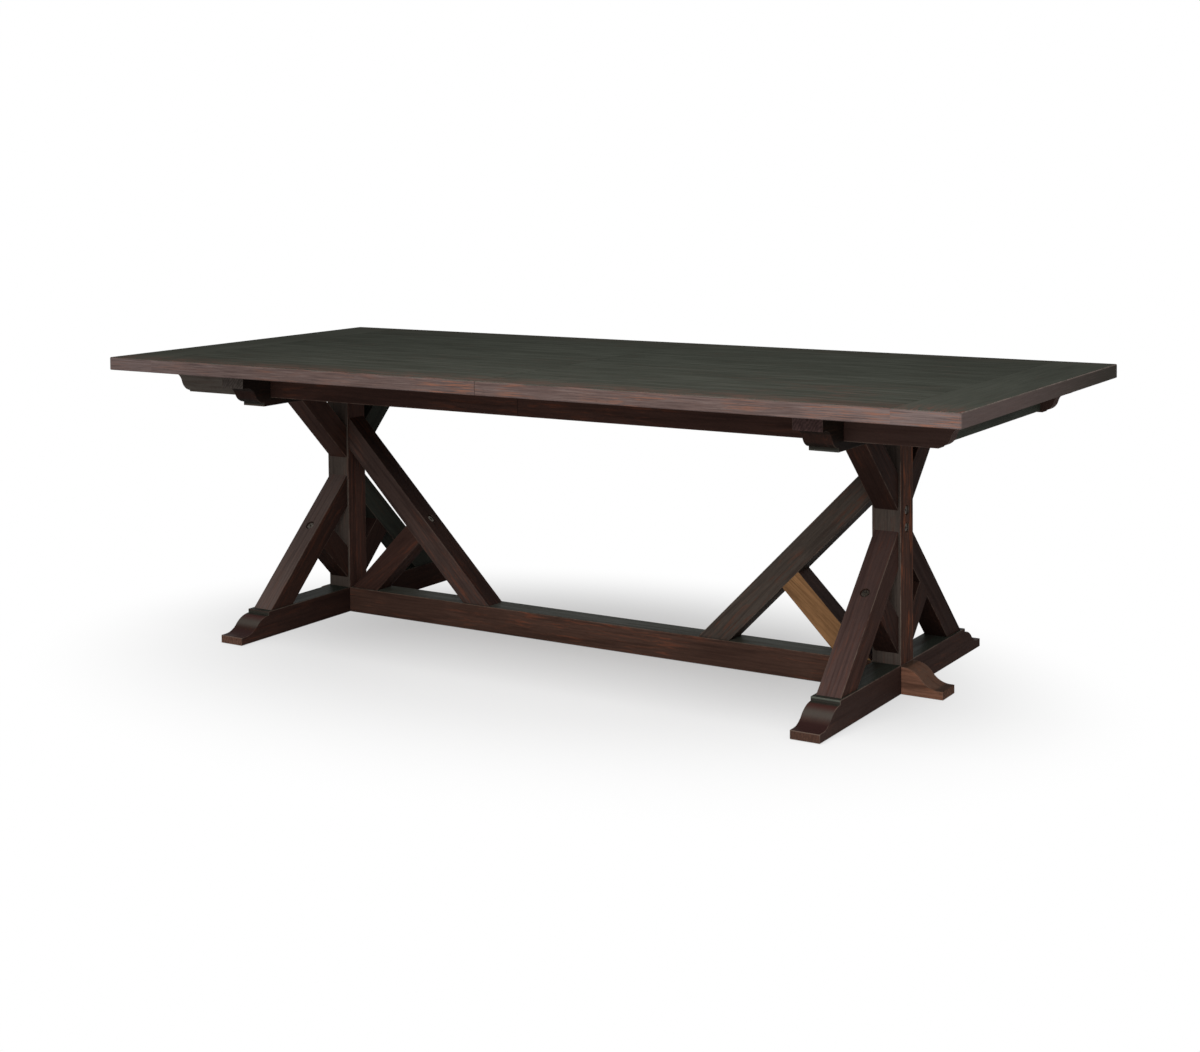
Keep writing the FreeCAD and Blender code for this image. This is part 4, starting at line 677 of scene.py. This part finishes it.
def pale_floor():
    """A wide white floor that keeps soft shadows, greyed about the table as a painted shadow, and runs out
    into the white behind it.
    """
    sheet = bmesh.new()
    bmesh.ops.create_grid(sheet, x_segments=1, y_segments=1, size=FLOOR_REACH)
    mesh = bpy.data.meshes.new("floor")
    sheet.to_mesh(mesh)
    sheet.free()
    floor = bpy.data.objects.new("floor", mesh)
    bpy.context.scene.collection.objects.link(floor)
    recipe = Surface("floor")
    shadow_oval = recipe.stretched(recipe.place, (1 / SHADOW_OVAL_REACH[0], 1 / SHADOW_OVAL_REACH[1], 1), (0, SHADOW_OVAL_SHIFT, 0))
    away = recipe.add("ShaderNodeVectorMath", {0: shadow_oval}, operation="LENGTH").outputs["Value"]
    painted = recipe.add("ShaderNodeBsdfDiffuse", {"Color": FLOOR_PAINT_AND_SHADOW})
    glow = recipe.add("ShaderNodeEmission", {"Color": WHITE, "Strength": 1.0})
    seen = recipe.add("ShaderNodeLightPath").outputs["Is Camera Ray"]
    lift = recipe.times(seen, recipe.ramp(away, FADE_START, FADE_END, FLOOR_LIFT, 1.0))
    faded = recipe.add("ShaderNodeMixShader", {0: lift, 1: painted.outputs[0], 2: glow.outputs[0]})
    mesh.materials.append(recipe.show(faded.outputs[0]))


ROOM_LIGHT = 0.45


def white_room():
    """White behind the table and in what it reflects, and a plain even light from all round."""
    world = bpy.data.worlds.new("white_room")
    bpy.context.scene.world = world
    recipe = Recipe(world)
    ray = recipe.add("ShaderNodeLightPath").outputs
    seen = recipe.larger(ray["Is Camera Ray"], ray["Is Glossy Ray"])
    seen = recipe.larger(seen, ray["Is Transmission Ray"])
    strength = recipe.add("ShaderNodeMapRange", {"Value": seen, "To Min": ROOM_LIGHT, "To Max": 1.0})
    background = recipe.add("ShaderNodeBackground", {"Color": WHITE, "Strength": strength.outputs[0]})
    recipe.add("ShaderNodeOutputWorld", {"Surface": background.outputs[0]})


def soft_lamp(name, place, aim, width, height, power):
    lamp = bpy.data.lights.new(name, "AREA")
    lamp.shape = "RECTANGLE"
    lamp.size = width
    lamp.size_y = height
    lamp.energy = power
    hung = bpy.data.objects.new(name, lamp)
    hung.location = place
    hung.rotation_euler = (Vector(aim) - Vector(place)).to_track_quat("-Z", "Y").to_euler()
    bpy.context.scene.collection.objects.link(hung)


IMAGE_WIDTH, IMAGE_HEIGHT = 1200, 1052
FOCAL_PIXELS = 1870.35
AXIS_PIXEL = (644.85, 245.29)
SENSOR_WIDTH = 36.0
CAMERA_PLACE = Vector((2.6804, -4.1570, 1.2791))
YAW, PITCH, ROLL = 0.54502, 0.04296, -0.00798


def photo_camera():
    """The photograph's viewpoint: its picture's centre lies well below the point that the lens looks at."""
    heading = Matrix.Rotation(YAW, 3, "Z")
    ahead = heading @ Matrix.Rotation(-PITCH, 3, "X") @ Vector(CROSSWISE)
    right = Matrix.Rotation(-ROLL, 3, ahead) @ (heading @ Vector(LENGTHWISE))
    up = right.cross(ahead)
    data = bpy.data.cameras.new("photo_camera")
    data.sensor_width = SENSOR_WIDTH
    data.lens = FOCAL_PIXELS / IMAGE_WIDTH * SENSOR_WIDTH
    data.shift_x = (IMAGE_WIDTH / 2 - AXIS_PIXEL[0]) / IMAGE_WIDTH
    data.shift_y = (AXIS_PIXEL[1] - IMAGE_HEIGHT / 2) / IMAGE_WIDTH
    camera = bpy.data.objects.new("photo_camera", data)
    turn = Matrix((right, up, -ahead)).transposed().to_4x4()
    camera.matrix_world = Matrix.Translation(CAMERA_PLACE) @ turn
    bpy.context.scene.collection.objects.link(camera)
    bpy.context.scene.camera = camera


pale_floor()
white_room()
soft_lamp("front_lamp", place=(2.4, -3.8, 2.9), aim=(0.0, 0.0, 0.5), width=2.0, height=1.5, power=120)
soft_lamp("top_lamp", place=(0.3, -1.2, 2.5), aim=(0.3, -0.5, 0.5), width=1.6, height=0.9, power=36)
photo_camera()
bpy.context.scene.view_settings.view_transform = "Standard"
